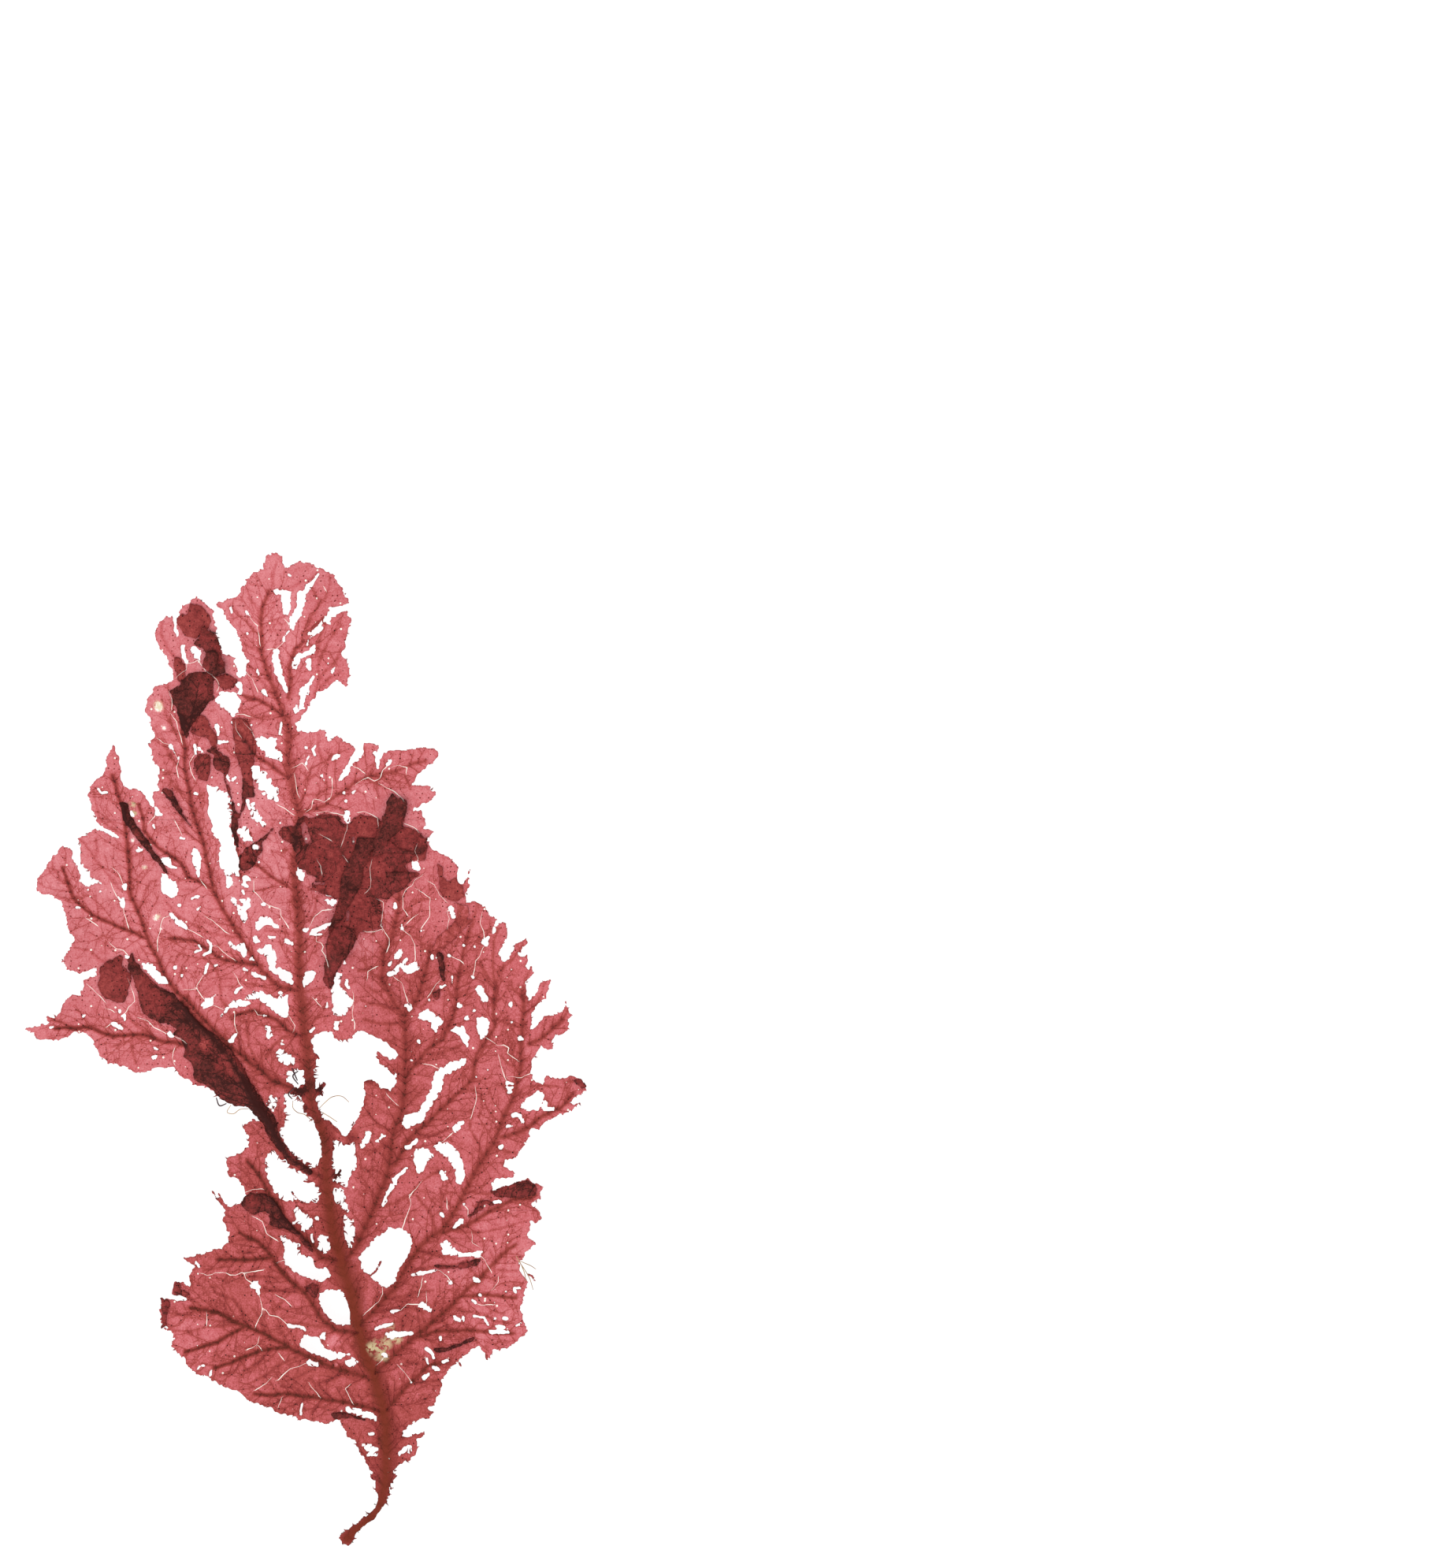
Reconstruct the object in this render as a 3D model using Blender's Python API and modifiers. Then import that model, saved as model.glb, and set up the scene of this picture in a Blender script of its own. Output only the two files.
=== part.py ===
"""Nienburgia prolifera, a red seaweed about 134 mm tall, laid flat as it was collected.

The plant is one piece: a small holdfast, a wiry stipe, a bare midrib that forks again and again, and
thin ruffled blades with toothed margins and midribs of their own. It lies in the XY plane with the holdfast
at -Y and the crown at +Y, touches the surface z = 0 where its blades are flat, and rises in low waves.

All coordinates below are millimetres, (x, y), read along the plant's own margins, seen from above.
"""
import math

import bpy
import numpy as np
from mathutils import Vector
from mathutils.geometry import delaunay_2d_cdt

MM = 0.001
MEMBRANE = 0.6
LAYER = 0.6
LAYER_SUNK = 0.3
RIB_HEIGHT_RATIO = 0.5
WAVE_HEIGHT = 2.6
WAVE_RADIUS = 6.3
WAVE_BIAS = 0.18
LATTICE_STEP = 2.1
FLAP_STEP = 3.2
RIB_STEP = 2.6
MARGIN_CLEARANCE = 0.95
RIB_CLEARANCE = 1.1
CONSTRAINT_EPSILON = 0.0001
TOOTH_PITCH = 1.25
TOOTH_DEPTH = 0.2
TOOTH_SEED = 7

CROWN_TOP = [
    (-5.2, 66.8), (-4.1, 67.1), (-3.2, 66.5), (-3.4, 65.9), (-2.9, 65.1), (-1.7, 65.4), (-0.9, 66.1),
    (0.3, 65.7), (2, 65), (3.8, 64), (4.6, 62.8), (5.4, 61.4), (5.9, 60.1), (4.4, 59.8), (3.2, 59.3),
    (2.5, 58.3), (1.1, 57.1), (0.1, 55.7), (1.5, 56.6), (3.1, 57.8), (4.2, 58.8), (5.4, 59.4),
    (6.05, 58.2), (5.9, 56.8), (5.4, 55.7), (5.4, 54.7), (4.9, 53.5), (5.8, 52.2), (6, 50.4),
    (5.5, 48.9), (4.3, 49.9), (3.2, 48.9), (1.5, 48.3), (0.6, 46.7), (-0.5, 45.2), (-1.5, 44),
]
UPPER_RIGHT = [
    (-1.3, 43.2), (-0.3, 42.9), (0.7, 42.9), (1.7, 43.2), (2.8, 43.3), (2.6, 42.4), (3.1, 41.3),
    (3.7, 42.1), (4.4, 42.4), (5, 41.5), (6.1, 41.1), (6.5, 40.5), (5.9, 38.9), (5, 37.6), (4.4, 36.3),
    (5.6, 37), (6.6, 38.9), (7.5, 39.3), (7.9, 41.4), (9.3, 41.5), (9.9, 40.7), (9.4, 39.8),
    (9.7, 37.9), (10.2, 39.8), (11.9, 40.5), (14.3, 40.6), (17.3, 40.5), (17.9, 40), (17.3, 38.9),
    (16.1, 38.1), (14.9, 37.1), (13.9, 35.5), (15.3, 35.6), (16.5, 35.9), (17, 35), (17.6, 34.5),
    (16.6, 33.5), (15.5, 33.2), (14.2, 32.1), (15.5, 32.2), (16, 31.1), (16.4, 30.2), (15.3, 29.8),
    (16.7, 29.9), (17.2, 29.4), (16.3, 28.3), (17.3, 26.8), (19, 26), (20, 25.3), (20.8, 24.5),
    (20.4, 23.6), (20.5, 22.7), (21.1, 22), (22.1, 24.3), (22, 22.5), (21.6, 19.8), (22.8, 19.9),
    (24.2, 19.2), (24.9, 18.2), (25.8, 17.6), (25.4, 15.6), (26, 16.9), (26.8, 17.1), (27.3, 16.3),
]
RIGHT_BLADES = [
    (27.2, 14.8), (26.4, 14), (26.1, 12.8), (26.7, 11.8), (27.5, 12.1), (28.1, 14), (29.7, 14.8),
    (30, 14.2), (28.8, 13), (28.8, 12.3), (29.8, 12.7), (30, 12.1), (29.5, 11.2), (30.2, 10.8),
    (30.7, 11.7), (30.7, 10.3), (29.8, 9), (29.7, 7.7), (30.1, 6.1), (30.9, 7.3), (31.6, 8.7),
    (32.6, 9.4), (33.1, 9.2), (32.5, 6.9), (31.3, 6), (30.4, 4.6), (30.3, 2.5), (31.1, 2.9), (32, 4.4),
    (33.2, 4.5), (34.5, 5), (35.2, 6.5), (35.4, 5), (36, 4.4), (35.4, 3.8), (35.6, 2.5), (33.7, 2),
    (33.1, 0.8), (33.8, 0.4), (32.7, -0.2), (31.8, 0.5), (31.2, -0.9), (30.6, -1.5), (30.3, -3),
    (30.7, -4.3), (32, -5), (32.5, -3.8), (34.1, -4), (35.8, -3.8), (37, -4), (38.1, -5.4),
    (36.3, -6.7), (35.3, -7.4), (37, -7.4), (36.1, -8.3), (34.1, -9.1), (32.4, -9.8), (31.6, -10.9),
    (30.4, -10.9), (30, -12.2), (29.2, -13.3), (28.3, -14.8), (27, -15), (26.6, -16), (28.4, -16.9),
    (27.8, -17.6), (26.3, -17.3), (25.1, -18.2), (25.1, -19.3), (26.5, -18.8), (28.7, -18.1),
    (30, -17.5), (32, -18.7), (31.6, -20.3), (30.5, -21), (31.6, -22), (31.9, -22.8), (31.2, -23.6),
    (30.1, -23.2), (30.4, -24.6), (29.8, -25.4), (31.1, -26.3), (29.6, -27.6), (28.8, -29),
    (29.4, -30.8), (30.2, -31.5), (29.4, -33.6), (28.9, -35), (29.6, -37.2), (30.1, -38.2),
]
LOWER_RIGHT = [
    (29.2, -38.9), (27.3, -40.5), (25.2, -40.8), (24.7, -42), (24.1, -41), (23.4, -40.1), (22.5, -40.5),
    (20.9, -41.9), (19.5, -43.2), (18.4, -44.8), (18.1, -46.3), (17.4, -48.1), (16.4, -48.6),
    (17.1, -49.2), (16.5, -50.1), (14.5, -50.6), (13.1, -51.8), (13.1, -52.5), (14.2, -52.3),
    (16.2, -51.5), (16, -52.2), (14.9, -53), (15.3, -53.8), (14.9, -55.1), (13.5, -55.8), (11.9, -56.8),
    (12.2, -58.2), (11.3, -59.9), (10.8, -61.4), (9.2, -63.7), (7.6, -64.8), (6.7, -65.5),
]
HOLDFAST = [
    (6.5, -66.3), (5.7, -67.1), (4.8, -66.8), (4.5, -66), (5, -65.2), (6, -64.7), (7.2, -63.8),
]
LOWER_LEFT = [
    (8.4, -63), (9.4, -62), (9.8, -60.8), (9.4, -59.6), (8.8, -57.8), (8.3, -56), (7.2, -55),
    (6.8, -53.5), (5.5, -52.4), (4.9, -50.8), (4.1, -50.1), (2.7, -50.8), (1, -50.3), (-1, -50.2),
    (-3.1, -49.4), (-5.1, -48.5), (-7, -47.9), (-9.5, -46.3), (-12.5, -45), (-14.9, -43.9),
    (-15.9, -43.2), (-16.5, -42), (-18.4, -40.2), (-17.9, -39.2), (-18.3, -38.2), (-19.6, -37.7),
    (-19.8, -35.5), (-19.6, -34), (-17.4, -34.1), (-16.1, -33.9), (-17.4, -33.4), (-18.1, -33.2),
    (-17.8, -31.6), (-16.7, -31.5), (-15.6, -32.4), (-15.8, -30.8), (-15.2, -29.5), (-16.7, -28.4),
    (-15.1, -28), (-12.4, -27.1), (-11.6, -27), (-10.6, -26), (-10.5, -24.8), (-11.3, -23.4),
    (-11, -21.9), (-11.7, -20.7), (-12, -19.4), (-11.4, -20.4), (-10.5, -21.3), (-9.1, -21.1),
    (-8.3, -20.3), (-8.5, -18.6), (-9.2, -17.7), (-10.7, -17), (-10.6, -15.8), (-11, -15.3),
    (-10.6, -14.7), (-8.6, -14.1), (-7.9, -13), (-7.9, -11.9), (-8.6, -10.8), (-8, -9.9), (-6.9, -9.6),
]
FOLD_EDGE = [
    (-6.2, -9.8), (-6.6, -9), (-7.8, -8.1), (-9.4, -7.6), (-11.2, -6.9), (-13, -5.5), (-15.4, -4.7),
    (-17.3, -3.5), (-17.9, -2.4), (-20, -2.5), (-21.9, -3.3), (-23.9, -2.7), (-25.5, -2.2),
    (-26.7, -2), (-28.1, -1), (-28.9, 1.2), (-30, 2), (-31.3, 2.3), (-32.4, 1.7), (-33.7, 1.2),
    (-36.1, 1.3), (-36.9, 2.1), (-38.1, 2.7), (-37, 3), (-35.4, 3.3), (-34.7, 3.6), (-35.1, 4.4),
    (-34.1, 4.2), (-33, 5.3), (-32.6, 6.7), (-31.7, 7.3), (-30.5, 7.3), (-29.9, 9.4), (-28.3, 9.9),
    (-28.2, 10.7),
]
LEFT_BLADE = [
    (-30.2, 10.2), (-31.3, 10.5), (-32.3, 10.9), (-33, 11.9), (-31.8, 13.6), (-31.4, 14.8),
    (-32.2, 16.8), (-32.7, 18.9), (-33.2, 20.3), (-34.8, 20.8), (-36.3, 21.3), (-36.3, 22.9),
    (-35.2, 24.3), (-34.3, 26.1), (-33, 27.5), (-31.7, 26.8), (-31.6, 25.5), (-30.6, 24.1),
    (-30.6, 22.6), (-29.3, 22), (-27.2, 22.4), (-29.1, 23.2), (-29.6, 24.3), (-30.4, 25.1),
    (-30.4, 27), (-31, 28.6), (-30, 28.8), (-28.9, 29.8), (-27.7, 29.5), (-25.5, 28.6), (-26, 29.2),
    (-27.8, 30.1), (-28.9, 32), (-29.5, 34.2), (-29.2, 35.8), (-27.8, 36.8), (-27.2, 37.9),
    (-26.8, 40), (-26.1, 41), (-25.6, 40), (-25.2, 37.3), (-24.9, 36), (-24.1, 35.2), (-22.9, 35.2),
    (-21.6, 33.6), (-20.4, 32.2), (-19.3, 31.6), (-20.7, 33.3),
]
UPPER_LEFT = [
    (-20.7, 34.6), (-20, 34.9), (-20.2, 35.9), (-19.9, 37.9), (-20.9, 39.2), (-21.4, 41.2),
    (-20.5, 42.1), (-21, 43.6), (-21.6, 44.8), (-21.5, 47.4), (-20.5, 48.9), (-18.6, 49.6),
    (-18, 50.1), (-18.9, 52.9), (-20.2, 55), (-20.6, 56.3), (-19.8, 57.9), (-18.1, 58.8), (-17.8, 57.2),
    (-17.4, 55.8), (-17.4, 58.4), (-16.9, 59.9), (-14.8, 61.2), (-13.9, 60.4), (-12.6, 59.1),
    (-12.2, 56.6), (-11.5, 54.1), (-11, 53.4), (-9.6, 52.9), (-9.3, 51), (-8.8, 50),
]
CROWN_LEFT = [
    (-8.2, 51.6), (-7.8, 52.5), (-8.7, 53.9), (-8.9, 54.9), (-9.4, 56.5), (-10.1, 57.4), (-11.2, 59),
    (-12.2, 60.3), (-10.6, 60.9), (-9.3, 61.4), (-8.2, 63.2), (-7.4, 64.3), (-5.9, 65),
]
MARGIN = (CROWN_TOP + UPPER_RIGHT + RIGHT_BLADES + LOWER_RIGHT + HOLDFAST + LOWER_LEFT + FOLD_EDGE
          + LEFT_BLADE + UPPER_LEFT + CROWN_LEFT)

CROWN_GAPS = [
    [(-3.8, 61.8), (-1.8, 62), (-2.3, 60.8), (-2.1, 59.4), (-2.9, 58.3), (-3.3, 59.2), (-3.3, 60.8)],
    [(1.4, 63.8), (0.6, 62.3), (0, 61.4), (-0.6, 59), (-1, 57.9), (-2, 56.8), (-1.9, 57.9),
     (-1.4, 59.5), (-1.2, 61.6), (0.2, 62.6)],
    [(-4.2, 53.9), (-3.8, 53.8), (-3.4, 51.4), (-2.6, 48.3), (-3.6, 49.5), (-4.2, 50.9), (-4.6, 52.9)],
    [(-1.6, 51.6), (-1.4, 52.9), (-0.4, 53.6), (1, 54), (0.3, 53.2), (-0.8, 52.9), (-1, 52)],
    [(0.7, 50.1), (0.6, 49), (-0.8, 45.9), (-0.9, 48.2), (-0.2, 49.3)],
    [(-12.4, 47.3), (-11.8, 48.2), (-10.8, 48.5), (-9.5, 48.1), (-9, 47.2), (-9.3, 45.6), (-10, 45),
     (-11, 45.9)],
    [(-7, 41.9), (-6.2, 42.2), (-4.1, 42), (-4.1, 40.8), (-3.2, 39.7), (-3.6, 39.2), (-5.2, 39.6),
     (-6.4, 40.8)],
    [(-15, 54.4), (-14.3, 53.6), (-14.4, 52.6), (-15.1, 53)],
]
MIDDLE_GAPS = [
    [(-7.4, 38), (-6.9, 38.3), (-5.8, 37.4), (-4.4, 35.4), (-3.9, 35.4), (-4, 33.6), (-5, 34),
     (-6.3, 35.4), (-7.3, 36.8)],
    [(-7.6, 32.8), (-7.1, 33.3), (-6.8, 31.9), (-5.1, 29.8), (-6.6, 30.6), (-7.5, 31.8)],
    [(-9.2, 29.5), (-8.3, 30), (-7.2, 29.1), (-7.2, 28.1), (-8.3, 28)],
    [(-13.4, 35.7), (-12.2, 35.3), (-10.7, 34.3), (-10.1, 33.2), (-10.3, 30), (-9.7, 28.4),
     (-9.1, 26), (-9, 22.9), (-10, 23.9), (-10.2, 21.9), (-10.6, 21.6), (-10.7, 23.5), (-12, 25.4),
     (-11.5, 27.7), (-12.6, 29), (-13.3, 32.5)],
    [(-10.1, 20.5), (-9.7, 20.4), (-8.9, 19.2), (-9.1, 18.9), (-9.6, 19.2)],
    [(-8.9, 20.2), (-7.9, 20.3), (-7.6, 19.4), (-8.1, 18.8), (-7.7, 17.5), (-8.3, 17.1), (-9, 18.4),
     (-8.6, 19.5)],
    [(-6.8, 17), (-6.1, 17.9), (-5.2, 18), (-4.2, 17.3), (-3.6, 16.4), (-5.2, 16.7), (-6.5, 16.2)],
    [(-10.6, 14.8), (-9.5, 13.9), (-8.3, 14.4), (-7.9, 13.3), (-8.4, 12.3), (-8.9, 13.3),
     (-10, 13.6)],
    [(-6.4, 13.3), (-5.2, 14.3), (-4.5, 14), (-4, 12.3), (-4.2, 11.1), (-3.2, 10.9), (-1.6, 10),
     (-1.8, 8.8), (-3.3, 9.3), (-3.9, 10.1), (-4.9, 10.8), (-5.1, 12.4)],
    [(0.1, 10.6), (1.2, 10.8), (1.3, 9.9), (0.4, 8.8), (-0.2, 8.3), (-0.4, 9.2)],
    [(-1.1, 24.1), (-0.2, 23.6), (-0.5, 22.8), (-1.1, 23)],
    [(2.6, 20.1), (3.7, 20.3), (4.1, 19.8), (3.1, 19.4)],
    [(3.4, 27.6), (4.3, 27.5), (5.3, 25.9), (4.3, 26.3), (3.6, 27)],
    [(5.1, 32.2), (5.8, 32.1), (5.8, 30.8), (5.1, 31)],
    [(0.9, 15.7), (1.9, 16.6), (3.4, 17.1), (2.3, 16)],
    [(4.2, 10.3), (4.9, 10.1), (4.6, 8.8), (5.7, 7.3), (6.9, 6.5), (6, 5.9), (5.5, 4.8), (4.3, 4.5),
     (3.7, 5.1), (3.7, 6.2), (3.4, 8), (3.6, 9.2)],
    [(3.7, 2.8), (4, 3.7), (4.9, 4), (4.5, 3.4), (4.5, 2.6)],
    [(-8.3, 6.9), (-6.9, 7.8), (-5.6, 7.6), (-4, 6.9), (-2.4, 7.4), (-2.5, 5.9), (-2.2, 4.5),
     (-3, 4.3), (-4.6, 5.3), (-6.3, 6.8)],
    [(-11.5, 4.4), (-11, 5.4), (-9.9, 6.4), (-8.8, 6.6), (-7.3, 6.1), (-8.7, 5.7), (-10.2, 5.6)],
    [(-5.5, 3), (-5, 3), (-4.6, 1.6), (-5.2, 1.2)],
]
LEFT_GAPS = [
    [(-22.4, 11.5), (-20.7, 11.6), (-20.3, 10.6), (-19.1, 9.7), (-18.5, 8.6), (-19.7, 8.7),
     (-21, 9.6), (-21.8, 10.7)],
    [(-14.3, 5.7), (-13.6, 6.7), (-12.4, 7.3), (-12.5, 6.4), (-13.4, 5.4)],
    [(-19.7, 23.9), (-18.9, 23.6), (-17.4, 22.1), (-17.4, 20.8), (-18.3, 20.4), (-19.4, 21),
     (-19.7, 22.5)],
    [(-19.1, 25.6), (-18.4, 25.6), (-18.1, 24.7), (-18.8, 24.6)],
    [(-15.4, 27.4), (-14.9, 27.2), (-14.3, 25.7), (-14.6, 23.3), (-15, 24), (-15.5, 25.9)],
    [(-18.3, 17.9), (-17, 17.3), (-15.9, 16.4), (-17.2, 16.7)],
]
CENTRE_GAPS = [
    [(-4.2, -0.2), (-3.6, 0), (-1.6, -1.3), (-1.7, -2.2), (-2.4, -2.2), (-3.8, -1.6)],
    [(-2.7, -3.1), (-1.3, -2.7), (-0.3, -2.9), (-0.2, -4.4), (-0.9, -5.1), (-2.5, -4.4)],
    [(0.9, 1.7), (1.8, 2.3), (3.5, 2.4), (3.9, 1.4), (5.4, 1.1), (6.3, 1.4), (6.6, 2.4), (7.5, 2.5),
     (9.2, 1.9), (10.9, 0.8), (12, 0.1), (12.8, -1), (11.3, -1.5), (10.4, -0.7), (9.7, 0),
     (9.3, -0.6), (10, -1.9), (11.1, -2.7), (12.2, -3.5), (12.1, -4.5), (11.4, -5.7), (10.3, -5.2),
     (8.5, -4), (7.9, -4.6), (7.9, -7.1), (7.2, -8.7), (6.3, -10.2), (5.7, -11.6), (4.9, -11.7),
     (3.1, -10.3), (2.2, -9.4), (1.6, -8), (1.3, -6.8), (1.8, -6.1), (2.2, -4.8), (1.3, -5.2),
     (1.1, -3.4), (1.7, -1), (0.9, 0.1)],
    [(-2.7, -6), (-1.9, -5.9), (-0.4, -7.4), (0.2, -9), (1.2, -10.3), (2, -12.6), (2.1, -14.6),
     (1.5, -15.9), (0.5, -16.1), (-0.6, -15.3), (-1.5, -14.6), (-2.8, -12.8), (-3.6, -11.1),
     (-2.7, -9.3), (-2.9, -7.4)],
    [(-5.3, -6.9), (-4.2, -6.4), (-4, -7.2), (-4.6, -8.2), (-5.2, -7.6)],
    [(-5.2, -14.1), (-4.4, -13.6), (-3.4, -14.8), (-1.8, -16.4), (0, -17), (0.3, -17.8),
     (1.3, -18.5), (1.9, -19.6), (1.2, -20.6), (0.1, -20.9), (-1.6, -20.6), (-2.9, -20.6),
     (-4.6, -19), (-5.2, -17.6), (-5.5, -15.6)],
    [(3.8, -12.2), (5, -13), (6.5, -12.8), (6.7, -14.9), (6.6, -16.3), (5.7, -17.4), (5.4, -18.6),
     (3.7, -17.9), (4.4, -16.9), (3.5, -16), (3.6, -13.9)],
    [(7.2, -13.1), (8.1, -11.3), (9, -11), (8.5, -12.3), (7.5, -13.6)],
    [(9.4, -12.5), (10.2, -11.5), (11, -11.6), (9.9, -12.5)],
    [(3.7, -19.2), (4.6, -18.9), (5.2, -19.8), (5.6, -22.1), (4.6, -21.2), (3.8, -20.4)],
]
RIGHT_GAPS = [
    [(11.1, 10), (12.1, 10.1), (12.6, 11.1), (13, 10.9), (13.7, 10.3), (15.2, 10.7), (15.2, 11.1),
     (14.7, 11.8), (13.6, 11.3), (12.8, 11.7), (12.2, 11), (11.6, 10.3)],
    [(12, 12.5), (12.6, 13.4), (13.2, 13), (12.5, 12.4)],
    [(14.2, 25.3), (15.1, 25.1), (15.3, 24.3), (14.6, 24.3)],
    [(19.3, 19.2), (19.8, 19.4), (20.2, 18), (19.8, 17.7)],
    [(23.9, 14.4), (24.5, 15.3), (24.8, 14.7), (24.2, 13.7)],
    [(13.4, 5.9), (14, 6.1), (14.4, 5.5), (13.9, 5)],
    [(14.9, 4.2), (15.6, 5.2), (16.6, 5.4), (18.5, 3.8), (17.9, 2.8), (17.5, 2.2), (16.8, 3.5),
     (15.8, 3.9)],
    [(19.2, 2.4), (20.2, 3.2), (21.1, 3), (22.1, 1.4), (21.8, 0.1), (21.1, 1.4), (20, 2.2)],
    [(22.8, 4.3), (24.1, 4.4), (24.9, 3.4), (24.6, 2.2), (23.5, 0.9), (23.2, 2.5)],
    [(23.3, 8.5), (24.2, 7.6), (24.6, 6.8), (24.1, 6.3), (23.3, 7.2), (22.9, 8)],
    [(15.7, -7.7), (16.8, -5.5), (17.4, -3.2), (19.5, -1.8), (21.6, -1.3), (21.2, -2.3),
     (18.5, -3.8), (18.5, -5.2), (17.2, -7.1), (15.5, -10), (13.6, -10.7), (12.8, -10.1),
     (13.5, -9.1), (15.1, -8.6)],
    [(17, -13.3), (18, -12.6), (19.3, -12.9), (20.8, -14.2), (21.4, -17), (21, -18.6), (20.3, -17.9),
     (20.1, -16.4), (19.3, -14.7), (18, -13.9)],
    [(14.4, -13.7), (16.1, -13.4), (17.2, -14.5), (16.1, -15.6), (15.5, -16.9), (14.8, -16.6)],
    [(13.5, -16.5), (12.8, -17), (11.6, -19.2), (10.6, -21.2), (11.2, -19), (12.4, -16.9)],
    [(19.4, -11), (20.3, -10.1), (21.8, -9.4), (21.1, -10.3), (20.2, -11.3)],
    [(28.9, -8), (29.8, -6.6), (31.4, -5.6), (32.4, -6.1), (31.5, -8.2), (30.2, -8.5)],
]
LOWER_GAPS = [
    [(1.9, -32.9), (3.4, -32.4), (4.8, -32.5), (5.6, -33.8), (6.1, -35.5), (6, -37), (5.1, -37.3),
     (3.7, -36.8), (2.6, -35.7), (1.9, -34.2)],
    [(-3.6, -25.1), (-2.4, -25.6), (-0.9, -26.6), (-0.7, -27.8), (0.8, -28.3), (1.6, -29.5),
     (3.1, -29.5), (3.4, -30.5), (2.1, -31.4), (-0.1, -30.6), (-1.9, -29.9), (-3, -28.7),
     (-2.9, -26.8)],
    [(1.8, -25), (2.8, -25.4), (3.3, -26.8), (2.6, -27.7), (1.6, -26.9)],
    [(-1.7, -21.8), (-1.2, -21.3), (-0.3, -22), (0.9, -23.1), (0.9, -24.1), (-0.2, -24.6),
     (-1.7, -23.4)],
    [(5.3, -22.5), (6.3, -23.4), (6.5, -25.2), (6.2, -26.9), (5.6, -26.6), (5.1, -24.2)],
    [(7.2, -28), (9.5, -25.5), (11.2, -24.1), (13.1, -24.3), (14, -25), (14.4, -26.5),
     (13.8, -27.8), (12.4, -30.1), (12, -31.7), (10.9, -32.2), (8.8, -30.8), (7.6, -29.6)],
    [(14.6, -30.6), (15.8, -29.9), (17.6, -29.9), (16.4, -30.5)],
    [(18.1, -26.4), (19, -25.9), (19.9, -27), (21.1, -27.5), (23.8, -27.4), (23.4, -28.1),
     (20.2, -28), (18.6, -27.8)],
    [(19.7, -24.3), (20.6, -22.9), (21.4, -23), (21.1, -23.7), (20.2, -24.3)],
    [(-0.7, -39.5), (-0.1, -38.5), (1.9, -39.1), (2.7, -40.3), (4.1, -41), (6, -41.2), (5.1, -41.8),
     (2.9, -41.9), (1, -41), (-0.7, -40.1)],
    [(0, -42), (0.7, -42.1), (1.7, -42.6), (1.3, -42.9), (0.2, -42.5)],
    [(5.2, -42.7), (5.4, -42.1), (6.3, -41.7), (7, -42.2), (6.5, -42.9)],
    [(-6.9, -31.8), (-6.3, -31.9), (-6.2, -33.2), (-6.8, -32.8)],
    [(5, -49.1), (5.5, -48.6), (7, -48.7), (9, -49.5), (9.3, -50.3), (7.3, -49.8), (6.2, -49.3)],
    [(7.8, -53.7), (8.6, -53.6), (9.7, -54.4), (9.5, -54.9), (8.5, -54.9)],
    [(12.6, -54.2), (13.8, -53.7), (14.4, -54), (14, -54.7), (12.5, -54.7)],
]
GAPS = CROWN_GAPS + MIDDLE_GAPS + LEFT_GAPS + CENTRE_GAPS + RIGHT_GAPS + LOWER_GAPS

# Each rib is its width in millimetres at its root and at its tip, and the points that it runs through.
MAIN_RIBS = [
    (1.3, 1.9, [(5.6, -66.2), (6.6, -65.1), (8.2, -63.9), (9.6, -62.5), (10.3, -61), (10.6, -59.5),
                (10.8, -57), (10.9, -54), (10.8, -51), (10.3, -48.5), (9.5, -45.5), (8.6, -42.5),
                (7.8, -40), (7.1, -37.5), (6.6, -35), (5.9, -32.5), (5.3, -30.5), (4.9, -28.5)]),
    (1.8, 1.1, [(4.9, -28.5), (4.1, -26.3), (3.5, -23.5), (3, -20.5), (2.7, -17.5), (2.6, -14.5),
                (2.3, -12), (1.6, -9.5), (0.8, -7.3), (0.5, -5.3), (0.4, -3), (0.3, 0), (0, 2.5),
                (-0.3, 5), (-0.7, 7.5)]),
    (1.1, 0.9, [(-0.7, 7.5), (-0.8, 10), (-0.8, 14), (-1, 18), (-1.4, 22), (-1.6, 26), (-1.2, 30),
                (-1, 32), (-1.5, 34), (-2.2, 37), (-2.6, 40), (-2.4, 43), (-2.9, 44.9)]),
    (1, 1.1, [(5.6, -28.3), (6.8, -26.8), (8, -24), (9.6, -20.5), (11, -17), (11.5, -14), (11.8, -11),
              (12.8, -8.5), (13.4, -5), (13.4, -1), (13.3, 4.3)]),
    (0.9, 0.6, [(7.4, -37.3), (10, -34.4), (12, -32.4), (13, -30.6), (13.9, -28.6), (15.2, -27),
                (18.3, -24.5), (20.5, -21.5), (22, -18.5), (23.5, -15.5), (25.5, -12.5), (26.5, -9.5),
                (28, -6.5), (28.9, -3), (29, 1), (29.4, 5), (29.2, 8)]),
]
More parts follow.
